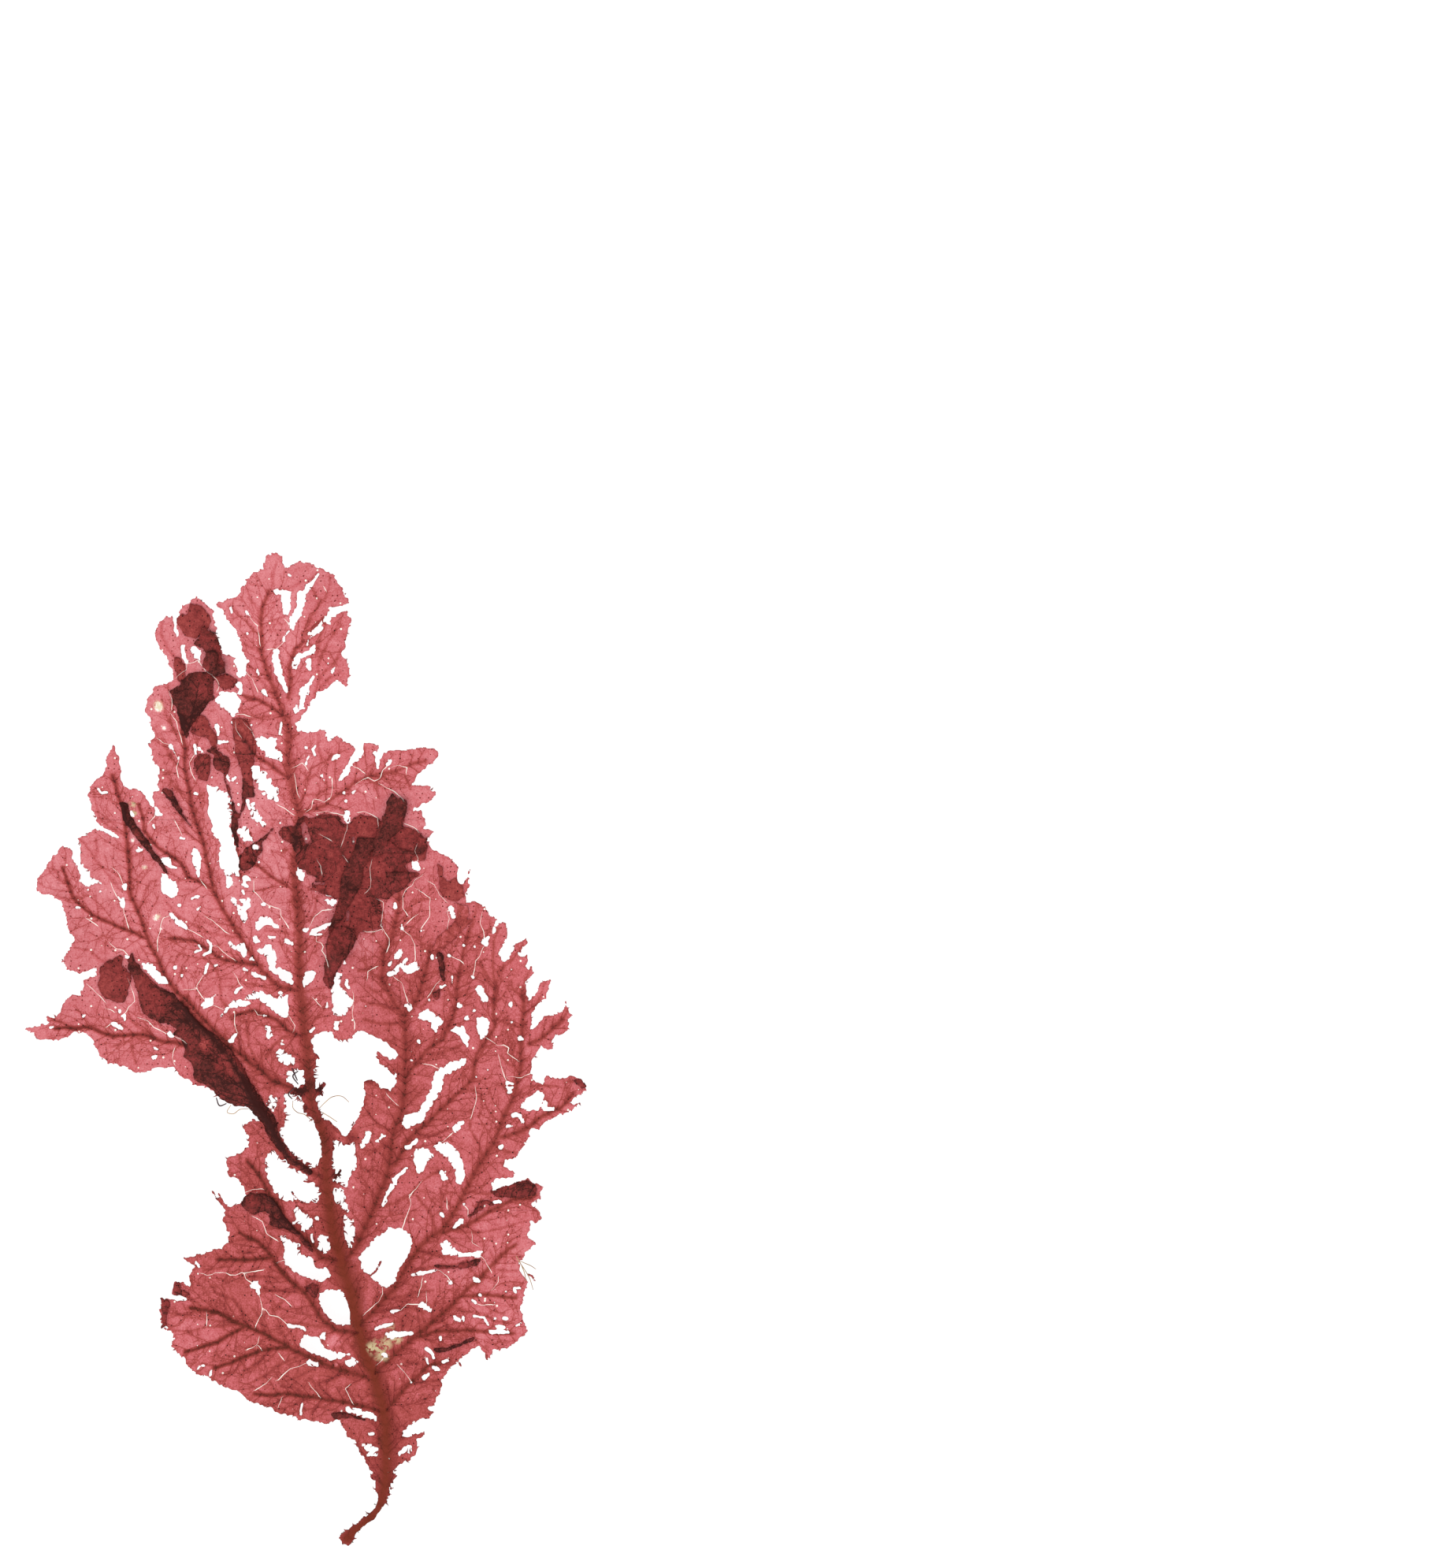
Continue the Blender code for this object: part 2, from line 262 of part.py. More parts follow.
LATERAL_RIBS = [
    (0.9, 0.5, [(-3, 44.8), (-4.2, 48.3), (-5.4, 51.2), (-6.1, 53.6), (-6.1, 56.5), (-5.9, 59.8),
                (-5, 61.8)]),
    (0.7, 0.4, [(-2.4, 47.5), (-2.2, 51.6), (-1.5, 54.1), (-0.3, 55.2)]),
    (0.6, 0.4, [(-3, 45), (-6, 46.9), (-8.4, 47.8)]),
    (0.6, 0.4, [(9.8, -49), (6.5, -48), (2, -47.3), (-3, -46.7), (-7, -46.7)]),
    (0.8, 0.4, [(8.3, -44.3), (5, -43.5), (1, -41.7), (-2, -40.4), (-5, -38.8), (-8.5, -37.4),
                (-12, -35.7), (-15.5, -35)]),
    (0.5, 0.4, [(-2.5, -40.3), (-6, -40.8), (-10, -42.3), (-12.5, -43.2)]),
    (0.5, 0.4, [(-8.5, -37.6), (-12, -39.8), (-16.3, -41)]),
    (0.8, 0.4, [(7.2, -38.2), (4, -37.9), (2, -36.2), (0, -33), (-2.5, -31), (-4.6, -28.2),
                (-6.5, -26.2), (-9, -24.9)]),
    (0.5, 0.4, [(-4.8, -28.3), (-8, -28.6), (-12, -28.5)]),
    (0.9, 0.5, [(4.2, -28.5), (2.3, -28.2), (0.8, -26.4), (-0.8, -25), (-3, -22.9), (-4, -20.7),
                (-5.4, -19.3), (-6.5, -17), (-8, -15.3)]),
    (0.9, 0.8, [(2.2, -17.2), (0.4, -16.5), (-2, -15), (-3.9, -12.6), (-5, -10), (-6.5, -8),
                (-8.5, -4), (-11, -0.5), (-14, 3), (-17, 6.5)]),
    (0.6, 0.4, [(-16.5, 0.4), (-19, 1), (-22, 1.9), (-26, 1.8), (-30, 3), (-34, 2.7)]),
    (0.8, 0.5, [(0.5, -5.6), (-1.4, -5.5), (-3, -4.9), (-5, -4), (-8, -1.6), (-10.5, 0.5), (-13, 3),
                (-15.5, 5.8), (-18, 8), (-20.3, 12.4), (-21.2, 14), (-22.3, 17.5), (-23.7, 20.5),
                (-24, 25), (-24.3, 29), (-25, 33), (-26.3, 37)]),
    (0.5, 0.4, [(-21.5, 14.8), (-25, 16.3), (-29, 18), (-31.5, 20.5), (-33, 24.5)]),
    (0.8, 0.5, [(-0.9, 8), (-3.6, 8.5), (-5.7, 10.4), (-7.2, 12.6), (-9, 15.7), (-11, 18.5),
                (-12.5, 21.5), (-13.3, 25), (-14.5, 29.5), (-15.5, 33), (-16.3, 37), (-16.4, 41),
                (-17, 45)]),
    (0.5, 0.4, [(-12.9, 21.8), (-16.1, 23.3), (-17, 25.3), (-20, 27.2), (-21.8, 29.3),
                (-22.6, 33)]),
    (0.6, 0.4, [(-5.9, 11.2), (-11, 12), (-15, 14.5), (-18.5, 14.9)]),
    (0.6, 0.4, [(-0.5, 1.8), (-2.5, 2.5), (-4, 4), (-7, 5.2), (-9.8, 4.4)]),
    (0.5, 0.4, [(-1.8, 21.5), (-4, 23), (-6.5, 24.8), (-8, 25.2)]),
    (0.5, 0.4, [(-2.4, 36.5), (-5, 38.4), (-7.4, 40), (-9.3, 43)]),
    (0.6, 0.5, [(-0.5, 31.9), (2.5, 32.9), (4.2, 34.5), (7, 36.3), (9, 37.1), (12, 37.5), (16, 39)]),
    (0.9, 0.6, [(13.3, 4.3), (11.5, 7), (10.3, 9.6), (10.6, 13), (11.8, 16), (12.5, 19), (12.5, 21)]),
    (0.9, 0.5, [(13.3, 4.3), (15.3, 7.5), (16.3, 11), (16.9, 14)]),
    (0.6, 0.4, [(13.4, -4), (16.3, -0.2), (18.6, 1.4), (20, 5), (20.5, 9), (21.2, 13), (22, 16)]),
    (0.7, 0.4, [(12, -15.5), (14, -12), (16.9, -9.5), (20, -6.5), (22.5, -4), (22.9, -1), (25.5, 3),
                (25.4, 9)]),
    (0.6, 0.4, [(18.3, -24.9), (22, -23.9), (25, -21.8), (28, -20.5), (31, -19.8)]),
    (0.6, 0.4, [(26.3, -12), (29, -11), (32, -9.2), (34.5, -8), (36, -6)]),
    (0.5, 0.4, [(30, 0.5), (32.5, 2), (34.5, 4)]),
    (0.8, 0.5, [(9.2, -43.8), (11.5, -41.8), (14, -39.5), (17, -37), (19.5, -34.9), (22, -32.3),
                (24.5, -30), (26.5, -28), (28.5, -26.5)]),
    (0.5, 0.4, [(14.5, -39.3), (17, -38.2), (21, -38), (25, -38.4), (28, -38.4)]),
    (0.5, 0.4, [(21, -33.5), (25, -33.4), (28.3, -33.6)]),
    (0.7, 0.4, [(10.8, -49), (12.5, -47), (14.5, -44.8), (16.5, -43), (18.5, -42.2)]),
]
RIBS = MAIN_RIBS + LATERAL_RIBS

# Blades that lie on other blades, or are folded back over themselves, each in one more layer.
FOLDED_LEFT_BLADE = [
    (-24.1, 12.3), (-22.7, 12), (-21.9, 10.3), (-19.2, 8.2), (-17.7, 7.3), (-15.1, 4), (-13, 2.2),
    (-11, 0.4), (-9, -1.6), (-7.1, -5.2), (-5.5, -6.2), (-5.5, -7.7), (-4.6, -8.6), (-4.6, -10),
    (-6, -9.4), (-8.1, -7.8), (-11, -6.6), (-13, -5.1), (-14.8, -3.8), (-16.4, -1.5), (-16.3, 0.9),
    (-18.3, 3.1), (-21.7, 4.5), (-22.5, 5.4), (-23, 7.8), (-24.1, 9.4),
]
LEFT_LOBE_LAYER = [
    (-27.6, 11), (-25.6, 12.2), (-24.7, 12), (-24.6, 9.5), (-23.5, 7.9), (-24.2, 7), (-25.3, 6.2),
    (-27, 6.9), (-28, 8.2),
]
CENTRE_LAYER = [
    (0.8, 31.5), (3, 31.9), (4.6, 31.4), (4.9, 30.5), (6, 30.5), (7, 31.4), (9.6, 31), (9.9, 30.5),
    (10.6, 33), (11.3, 34.4), (13.3, 33.4), (13.1, 30.4), (15.2, 29), (16.1, 28.2), (16.2, 25.5),
    (15.5, 25.5), (15.2, 25.4), (14, 25.5), (13.9, 24.2), (14.9, 23.9), (13.2, 22.3), (11.5, 20.6),
    (9.7, 20.2), (10.3, 18.6), (10.2, 16.6), (7.2, 15.5), (6.6, 14.2), (5.2, 12), (4, 10.6),
    (3.2, 9.2), (2.5, 11.5), (3, 14.5), (3.6, 17.4), (4.5, 20), (3.8, 20.6), (2, 21), (0.3, 22.3),
    (0.6, 24), (-1, 24.6), (-2.2, 28), (-3.6, 29.3), (-1.5, 30.9),
]
CENTRE_BAND = [
    (11.4, 34), (13, 33.2), (12.8, 31), (11.5, 28.5), (9.2, 26.6), (8.4, 25.6), (7.4, 22.5),
    (6.6, 20.6), (5.3, 18.7), (4, 16.6), (3.7, 16.9), (4.9, 20), (5.4, 25.1), (6.3, 26.6),
    (9.4, 28.6), (10.3, 31),
]
RIGHT_LAYER = [
    (18, 24.7), (19, 23.4), (20, 22.9), (21.1, 21.5), (21.7, 19.4), (21.8, 17.4), (21.3, 16.1),
    (19.3, 14.4), (18, 13.5), (17.1, 13.5), (18, 15.3), (20.6, 17.4), (20.6, 19.2), (18.4, 21.2),
    (18, 23.3),
]
UPPER_LEFT_LAYER = [
    (-18.3, 48.3), (-17.1, 48.8), (-16.7, 50), (-14.5, 51), (-13.9, 52.2), (-13.8, 54.8),
    (-14.3, 56.1), (-16.1, 58.2), (-15.2, 60), (-14.2, 60), (-13.1, 58.2), (-12.3, 55.4),
    (-11.4, 52.5), (-11, 51), (-12.6, 50.1), (-12.9, 47.8), (-14.1, 45.9), (-15.6, 42.8),
    (-16.4, 42.3), (-17.5, 45.5),
]
CROWN_FOOT_LAYER = [
    (-9.7, 44.6), (-8.5, 44.7), (-7.7, 43.7), (-7.4, 41.6), (-7.1, 39.2), (-8.8, 38.9), (-9.5, 41),
    (-9.8, 43.4),
]
NARROW_BRANCH_LAYER = [
    (-8.1, -20), (-7.3, -19.5), (-6, -19.7), (-4.8, -20.2), (-3.5, -22.2), (-3.9, -23.7),
    (-4.9, -23.6), (-5.4, -22.4), (-6.6, -22.6), (-8.5, -21.4),
]
LAYERS = {
    "folded_left_blade": (0, FOLDED_LEFT_BLADE),
    "left_lobe_layer": (0, LEFT_LOBE_LAYER),
    "centre_layer": (0, CENTRE_LAYER),
    "right_layer": (0, RIGHT_LAYER),
    "upper_left_layer": (0, UPPER_LEFT_LAYER),
    "crown_foot_layer": (0, CROWN_FOOT_LAYER),
    "narrow_branch_layer": (0, NARROW_BRANCH_LAYER),
    "centre_band": (1, CENTRE_BAND),
}


def remove_everything():
    """Empties the scene that the script starts in."""
    for found in list(bpy.data.objects):
        bpy.data.objects.remove(found, do_unlink=True)


def inside(points, outline):
    """Whether each point lies inside the outline: a ray towards +X crosses it an odd number of times."""
    corners = np.asarray(outline, dtype=float)
    following = np.roll(corners, -1, axis=0)
    px, py = points[:, :1], points[:, 1:2]
    spans = (corners[:, 1] > py) != (following[:, 1] > py)
    rise = np.where(following[:, 1] == corners[:, 1], 1.0, following[:, 1] - corners[:, 1])
    crossing = corners[:, 0] + (py - corners[:, 1]) / rise * (following[:, 0] - corners[:, 0])
    return (spans & (px < crossing)).sum(axis=1) % 2 == 1


def toothed(outline):
    """The margin with its fine teeth: long edges are cut evenly, and each new point moves in or out."""
    generator = np.random.default_rng(TOOTH_SEED)
    margin = []
    for start, end in zip(outline, outline[1:] + outline[:1]):
        margin.append(start)
        along = np.subtract(end, start)
        length = math.hypot(*along)
        outward = np.array([-along[1], along[0]]) / length
        pieces = max(1, round(length / TOOTH_PITCH))
        for piece in range(1, pieces):
            depth = TOOTH_DEPTH * generator.uniform(-1.0, 1.0)
            margin.append(tuple(start + along * piece / pieces + outward * depth))
    return margin


def distance_to_path(points, path, closed=False):
    """The distance from each point to a path, and the share of the path before the place nearest to it."""
    start = np.asarray(path, dtype=float)
    end = np.roll(start, -1, axis=0) if closed else start[1:]
    start = start if closed else start[:-1]
    along = end - start
    lengths = np.hypot(along[:, 0], along[:, 1])
    to_point = points[:, None, :] - start[None, :, :]
    share = np.clip((to_point * along).sum(axis=2) / (lengths ** 2), 0.0, 1.0)
    gap = np.linalg.norm(to_point - share[:, :, None] * along, axis=2)
    nearest = gap.argmin(axis=1)
    rows = np.arange(len(points))
    before = np.concatenate([[0.0], np.cumsum(lengths)[:-1]])
    travelled = before[nearest] + share[rows, nearest] * lengths[nearest]
    return gap[rows, nearest], travelled / lengths.sum()


def rib_rise(points):
    """How far the ribs stand out of the membrane: a rounded ridge, as high as a share of the rib's width."""
    rise = np.zeros(len(points))
    for root_width, tip_width, path in RIBS:
        gap, share = distance_to_path(points, path)
        width = root_width + (tip_width - root_width) * share
        ridge = RIB_HEIGHT_RATIO * width * np.sqrt(np.clip(1.0 - (gap / width) ** 2, 0.0, 1.0))
        rise = np.maximum(rise, ridge)
    return rise


def resting_height(points):
    """The underside's height: two crossed waves that bend each other, whose crests alone leave the surface."""
    x, y = points[:, 0] / WAVE_RADIUS, points[:, 1] / WAVE_RADIUS
    across = np.sin(x + 0.9 + 0.7 * np.sin(0.6 * y))
    lengthwise = np.sin(0.9 * y - 0.4 + 0.8 * np.sin(0.7 * x + 0.5))
    crest = np.clip((across + lengthwise) / 2.0 + WAVE_BIAS, 0.0, 1.0)
    return WAVE_HEIGHT * crest ** 2


def points_along(path, step):
    """Points on a path at even steps, its two ends included."""
    corners = np.asarray(path, dtype=float)
    lengths = np.hypot(*np.diff(corners, axis=0).T)
    travelled = np.concatenate([[0.0], np.cumsum(lengths)])
    places = np.linspace(0.0, travelled[-1], max(2, round(travelled[-1] / step) + 1))
    return np.column_stack([np.interp(places, travelled, corners[:, axis]) for axis in (0, 1)])


def lattice(outline, step):
    """Points in rows of equal triangles over the box that an outline fills."""
    corners = np.asarray(outline, dtype=float)
    low, high = corners.min(axis=0), corners.max(axis=0)
    row_gap = step * math.sqrt(3.0) / 2.0
    rows = np.arange(low[1], high[1], row_gap)
    columns = np.arange(low[0], high[0], step)
    x, y = np.meshgrid(columns, rows)
    x[1::2] += step / 2.0
    return np.column_stack([x.ravel(), y.ravel()])


def well_inside(points, outline, gaps, clearance):
    """The points that lie in the outline and out of its gaps, with room to both."""
    kept = points[inside(points, outline)]
    kept = kept[distance_to_path(kept, outline, closed=True)[0] > clearance]
    for gap in gaps:
        kept = kept[~inside(kept, gap)]
        kept = kept[distance_to_path(kept, gap, closed=True)[0] > clearance]
    return kept


def thinned(points, clearance):
    """The points left when each one too near to an earlier one is dropped."""
    kept = np.empty((0, 2))
    for point in points:
        if len(kept) == 0 or np.hypot(*(kept - point).T).min() > clearance:
            kept = np.vstack([kept, point])
    return kept


def interior_points(outline, gaps, step, with_ribs):
    """Points inside a blade: first along its ribs, then a lattice that keeps clear of them."""
    ribs = np.empty((0, 2))
    if with_ribs:
        ribs = np.vstack([points_along(path, RIB_STEP) for _, _, path in RIBS])
        ribs = thinned(well_inside(ribs, outline, gaps, MARGIN_CLEARANCE / 2.0), RIB_CLEARANCE)
    filling = well_inside(lattice(outline, step), outline, gaps, MARGIN_CLEARANCE)
    if len(ribs):
        gap = np.linalg.norm(filling[:, None, :] - ribs[None, :, :], axis=2).min(axis=1)
        filling = filling[gap > RIB_CLEARANCE]
    return np.vstack([ribs, filling])


def triangulated(outline, gaps, step, with_ribs):
    """Triangles of one blade seen from above: its outline, less its gaps, with the points inside it."""
    points, edges = [], []
    for loop in [outline] + gaps:
        first = len(points)
        points += loop
        edges += [(first + i, first + (i + 1) % len(loop)) for i in range(len(loop))]
    points += [tuple(point) for point in interior_points(outline, gaps, step, with_ribs)]
    found = delaunay_2d_cdt([Vector(point) for point in points], edges, [], 0, CONSTRAINT_EPSILON)
    flat = np.array([tuple(point) for point in found[0]])
    faces = np.array([tuple(face) for face in found[2]])
    middles = flat[faces].mean(axis=1)
    kept = inside(middles, outline)
    for gap in gaps:
        kept &= ~inside(middles, gap)
    faces = faces[kept]
    used = np.unique(faces)
    renumbered = np.full(len(flat), -1)
    renumbered[used] = np.arange(len(used))
    return flat[used], renumbered[faces]


def frond_material(name, colour, roughness):
    """A Principled material of one colour."""
    made = bpy.data.materials.new(name)
    made.use_nodes = True
    shader = made.node_tree.nodes["Principled BSDF"]
    shader.inputs["Base Color"].default_value = (*colour, 1.0)
    shader.inputs["Roughness"].default_value = roughness
    shader.inputs["Metallic"].default_value = 0.0
    return made


def sheet(name, flat, faces, underside, thickness, collection):
    """A closed blade: its underside as an open surface, with Solidify raising the other face from it."""
    mesh = bpy.data.meshes.new(name)
    mesh.from_pydata(np.column_stack([flat, underside]) * MM, [], faces.tolist())
    made = bpy.data.objects.new(name, mesh)
    collection.objects.link(made)
    group = made.vertex_groups.new(name="thickness")
    thickest = float(thickness.max())
    for vertex, amount in enumerate(thickness):
        group.add([vertex], float(amount) / thickest, "REPLACE")
    shell = made.modifiers.new("blade thickness", "SOLIDIFY")
    shell.thickness = thickest * MM
    shell.offset = 1.0
    shell.vertex_group = group.name
    return made


def base_thickness(flat):
    """The membrane with its ribs."""
    return MEMBRANE + rib_rise(flat)


def top_of_sheet(flat, below):
    """The height of the upper face at each place, over a number of layers."""
    return resting_height(flat) + base_thickness(flat) + below * (LAYER - LAYER_SUNK)


def thallus(collection):
    """The whole plant in its lowest layer."""
    flat, faces = triangulated(toothed(MARGIN), GAPS, LATTICE_STEP, True)
    return sheet("thallus", flat, faces, resting_height(flat), base_thickness(flat), collection)


def overlying_blade(name, outline, below, collection):
    """A blade that lies on others, sunk into them so that they join."""
    flat, faces = triangulated(outline, [], FLAP_STEP, False)
    underside = top_of_sheet(flat, below) - LAYER_SUNK
    return sheet(name, flat, faces, underside, np.full(len(flat), LAYER), collection)


def joined(body, others, collection):
    """One solid of the plant and the blades on it, by a Boolean union that is applied."""
    union = body.modifiers.new("overlying blades", "BOOLEAN")
    union.operation = "UNION"
    union.operand_type = "COLLECTION"
    union.collection = others
    union.solver = "EXACT"
    evaluated = body.evaluated_get(bpy.context.evaluated_depsgraph_get())
    mesh = bpy.data.meshes.new_from_object(evaluated)
    name = body.name
    for found in list(others.objects) + [body]:
        bpy.data.objects.remove(found, do_unlink=True)
    bpy.data.collections.remove(others)
    made = bpy.data.objects.new(name, mesh)
    collection.objects.link(made)
    return made


def main():
    """Models the plant."""
    remove_everything()
    plant = bpy.data.collections.new("nienburgia_prolifera")
    overlying = bpy.data.collections.new("overlying_blades")
    for made in (plant, overlying):
        bpy.context.scene.collection.children.link(made)
    body = thallus(plant)
    for name, (below, outline) in LAYERS.items():
        overlying_blade(name, outline, below, overlying)
    body = joined(body, overlying, plant)
    body.data.materials.clear()
    body.data.materials.append(frond_material("red_frond", (0.42, 0.075, 0.07), 0.45))


main()
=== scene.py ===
"""The looks of a red seaweed, Nienburgia prolifera, about 134 mm tall and laid flat on a white table.

The plant is a thin toothed sheet with ribs, veins, tears and folds. Its form is worked out on a fine grid
over the table: fields say at each place how far the margin is, how high the sheet lies, how thick it is
and how much pigment it holds, and the meshes are cut from that grid as whole arrays. The margin comes from
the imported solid, and ribs, tears, cracks and overlying blades are paths seen from above.
"""
import functools
import math
from types import SimpleNamespace

import bpy
import numpy as np
from bpy.props import FloatProperty, FloatVectorProperty, PointerProperty
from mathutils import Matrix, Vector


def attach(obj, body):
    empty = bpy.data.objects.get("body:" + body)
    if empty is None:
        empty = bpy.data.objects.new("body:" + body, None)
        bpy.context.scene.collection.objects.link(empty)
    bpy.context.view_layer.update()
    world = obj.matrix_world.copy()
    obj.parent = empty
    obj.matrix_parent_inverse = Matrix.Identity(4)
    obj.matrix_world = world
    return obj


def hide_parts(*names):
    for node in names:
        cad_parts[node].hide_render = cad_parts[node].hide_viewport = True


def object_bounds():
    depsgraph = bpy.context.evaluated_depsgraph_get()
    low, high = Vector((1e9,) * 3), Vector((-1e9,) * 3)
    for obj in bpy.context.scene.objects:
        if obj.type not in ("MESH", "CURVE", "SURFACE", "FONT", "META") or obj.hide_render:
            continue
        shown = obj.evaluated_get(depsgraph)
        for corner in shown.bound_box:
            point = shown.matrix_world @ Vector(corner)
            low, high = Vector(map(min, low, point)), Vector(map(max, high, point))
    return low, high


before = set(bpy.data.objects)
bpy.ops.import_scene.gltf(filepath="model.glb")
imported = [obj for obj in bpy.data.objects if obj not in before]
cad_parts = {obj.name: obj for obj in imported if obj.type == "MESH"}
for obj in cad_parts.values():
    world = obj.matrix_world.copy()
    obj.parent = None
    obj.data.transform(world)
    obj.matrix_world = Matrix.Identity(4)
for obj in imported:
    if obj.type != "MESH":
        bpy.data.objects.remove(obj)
CAD_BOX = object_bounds()

bl_info = {
    "name": "Red seaweed",
    "version": (1, 0, 0),
    "blender": (4, 5, 0),
    "location": "View3D > Sidebar > Seaweed",
    "description": "Builds the fine surface of a pressed red seaweed and the stage it lies on",
    "category": "Object",
}

MM = 0.001
NODE = "thallus"
BODY = "root"

# Lengths below are in millimetres, and the points of paths in tenths of them.
# How the sheet lies on the table: two crossed waves, as in the solid.
WAVE_HEIGHT = 2.6
WAVE_RADIUS = 6.3
WAVE_BIAS = 0.18

# The room round the plant and round an overlying blade, and the points along each side of a tile of the grid.
GRID_ROOM = 1.5
TILE = 24

# How far lines are looked for: round the margin and the ribs, between ribs, round tears, strands and windows,
# round lesser ribs, and round veins and cracks.
MARGIN_REACH = 3.0
BLADE_REACH = 9.0
TEAR_REACH = 2.0
LESSER_RIB_REACH = 1.5
FINE_REACH = 0.8

# The random patterns of the surface. Each adds up waves, and a wave is its strength, the distance between its
# knots and its seed. The seeds of the layer patterns count on from blade to blade.
UNEVEN = {
    "line_x": [(0.16, 1.9, 12), (0.05, 0.6, 13)],
    "line_y": [(0.16, 1.9, 14), (0.05, 0.6, 15)],
    "tone": [(0.03, 4.5, 21), (0.03, 1.6, 22)],
    "spot": [(0.3, 0.8, 23)],
    "fringe": [(0.07, 0.3, 32)],
    "tear": [(0.5, 0.45, 33), (0.3, 0.24, 38)],
    "window": [(0.3, 0.4, 33)],
    "crack": [(0.7, 0.7, 34)],
    "strand": [(0.5, 0.4, 35)],
    "shaggy": [(0.3, 0.45, 36), (0.12, 0.25, 37)],
    "ruffle": [(0.5, 1.7, 41)],
    "crumple": [(0.09, 2.3, 42), (0.045, 1.1, 43)],
    "layer_edge": [(0.14, 0.5, 50), (0.12, 1.3, 80)],
    "layer_puff": [(0.6, 2.0, 110)],
    "layer_tone": [(0.06, 2.2, 140), (0.05, 0.9, 170)],
}
TOOTH_SEED = 31
VEIN_SEED = 11
SPUR_SEED = 61
GRIT_SEED = 71

# The knots of a pattern stand in a lattice, which starts this far below and left of the solid's box and spans
# this much along Y and along X.
LATTICE_ROOM = 10.0
LATTICE_SPAN = (160, 110)

# Teeth stand out by TOOTH_GAIN at their tips, less TOOTH_SINK, as shares of the tooth depth, and by the share
# RIB_TEETH on ribs. Shaggy places are set back by SHAGGY_SINK. Ruffles reach this far in from the margin, and
# the crumpled sheet stands this high.
TOOTH_GAIN = 1.6
TOOTH_SINK = 0.75
SHAGGY_SINK = 0.05
RIB_TEETH = 0.3
RUFFLE_REACH = 2.2
CRUMPLE_HEIGHT = 0.135

# Heights of ribs, veins and lesser ribs over the membrane, a rib's as a share of its half width. The widths
# are a vein's in relief and in colour, and a lesser rib's spread is a share of its half width.
RIB_HEIGHT_RATIO = 0.5
VEIN_HEIGHT = 0.03
LESSER_RIB_HEIGHT = 0.08
VEIN_RELIEF_WIDTH = 0.14
VEIN_COLOUR_WIDTH = 0.35
LESSER_RIB_SPREAD = 0.62

# Half widths at root and tip of the lesser ribs and of the pale cracks, a crack's before it is made uneven.
LESSER_HALF_WIDTHS = (0.42, 0.26)
CRACK_HALF_WIDTHS = (0.022, 0.05)

# Pigment runs from 0 for bare membrane to 1 for nearly black. The midrib is brown with cortex at its foot and
# pure red at its top. Blade ribs hold more pigment at the left than at the right.
CORTEX_FOOT = -30.0
CORTEX_TOP = 34.0
AXIS_PIGMENT = 0.57
AXIS_FOOT_PIGMENT = 0.19
BLADE_RIB_SIDES = (-16.0, 12.0)
BLADE_RIB_PIGMENT = (0.46, 0.26)
BLADE_RIB_FOOT_PIGMENT = 0.06
LESSER_RIB_PIGMENT = 0.16
VEIN_PIGMENT = 0.045
RIM_PIGMENT = 0.08
RIM_WIDTH = 0.16
STRAND_PIGMENT = 0.62

# A rib's colour: a halo, as a share of its half width, and in blade ribs also a fine line with its share.
HALO_SPREAD = 0.6
RIB_LINE_WIDTH = 0.22
RIB_LINE_SHARE = 0.34

# A place's tone counts less and less from about this distance on.
TONE_REACH = 3.0

# Side veins: how close they come to the margin, the angle at which they leave, the step in which they grow,
# and the lengths and half widths of the first ones and of those that they bear.
VEIN_ROOM = 0.12
VEIN_ANGLE = math.radians(48.0)
VEIN_STRIDE = 0.45
VEIN_LENGTHS = ((3.0, 8.0), (0.7, 2.4))
VEIN_HALF_WIDTHS = (0.1, 0.07)

# The sheet is cut into five meshes: at these heights, and between them at these places across.
SHEET_ROWS = (-22.0, 31.0)
SHEET_COLUMNS = (-9.0, 9.0)

# The values that the sheets carry from point to point into their material.
SHEET_VALUES = ("pigment", "cortex", "straw", "vein_gap", "vein_weight", "crack_gap", "crack_weight")

# Cutting the sheet: grid points within the first share of a step from the outline are moved onto it, by at
# most the second, and a slope whose square is less than the last number counts as that steep.
SNAP_SHARE = 0.62
MOVE_SHARE = 0.75
GENTLEST = 0.2

# Overlying blades: the air under them where they lie flat, how far in they puff up, the step between layers
# beside their gap and thickness, their dark rim, and how much of the ribs below shows through.
LAYER_REST = 0.05
PUFF_REACH = 0.8
PUFF_HEIGHT = 1.3
LAYER_STEP = 0.15
LAYER_RIM_WIDTH = 0.22
LAYER_RIM_PIGMENT = 0.05
SHOW_THROUGH = 0.6

# Spurs: the height of their middle line, and their half width at the root, with what their length adds to it.
SPUR_HEIGHT = 0.14
SPUR_HALF_WIDTH = 0.1
SPUR_GIRTH = 0.08

# The material's patterns: scale and detail of the noises, and how much each pattern adds to the pigment.
NOISES = {"slow": (0.45, 2.0), "blotch": (1.7, 3.0), "grain": (5.0, 3.0)}
GAINS = {"slow": 0.14, "blotch": 0.16, "grain": 0.34, "net": 0.06, "vein": 0.15, "dot": 0.45}

# The pigment at which each colour stands, the darkest colour as a share of the dark one, and the depth of the
# materials' relief.
COLOUR_STOPS = {"bare": 0.0, "light": 0.12, "rose": 0.36, "red": 0.5, "wine": 0.72, "dark": 0.88}
DARKEST = 0.4
RELIEF = 0.05

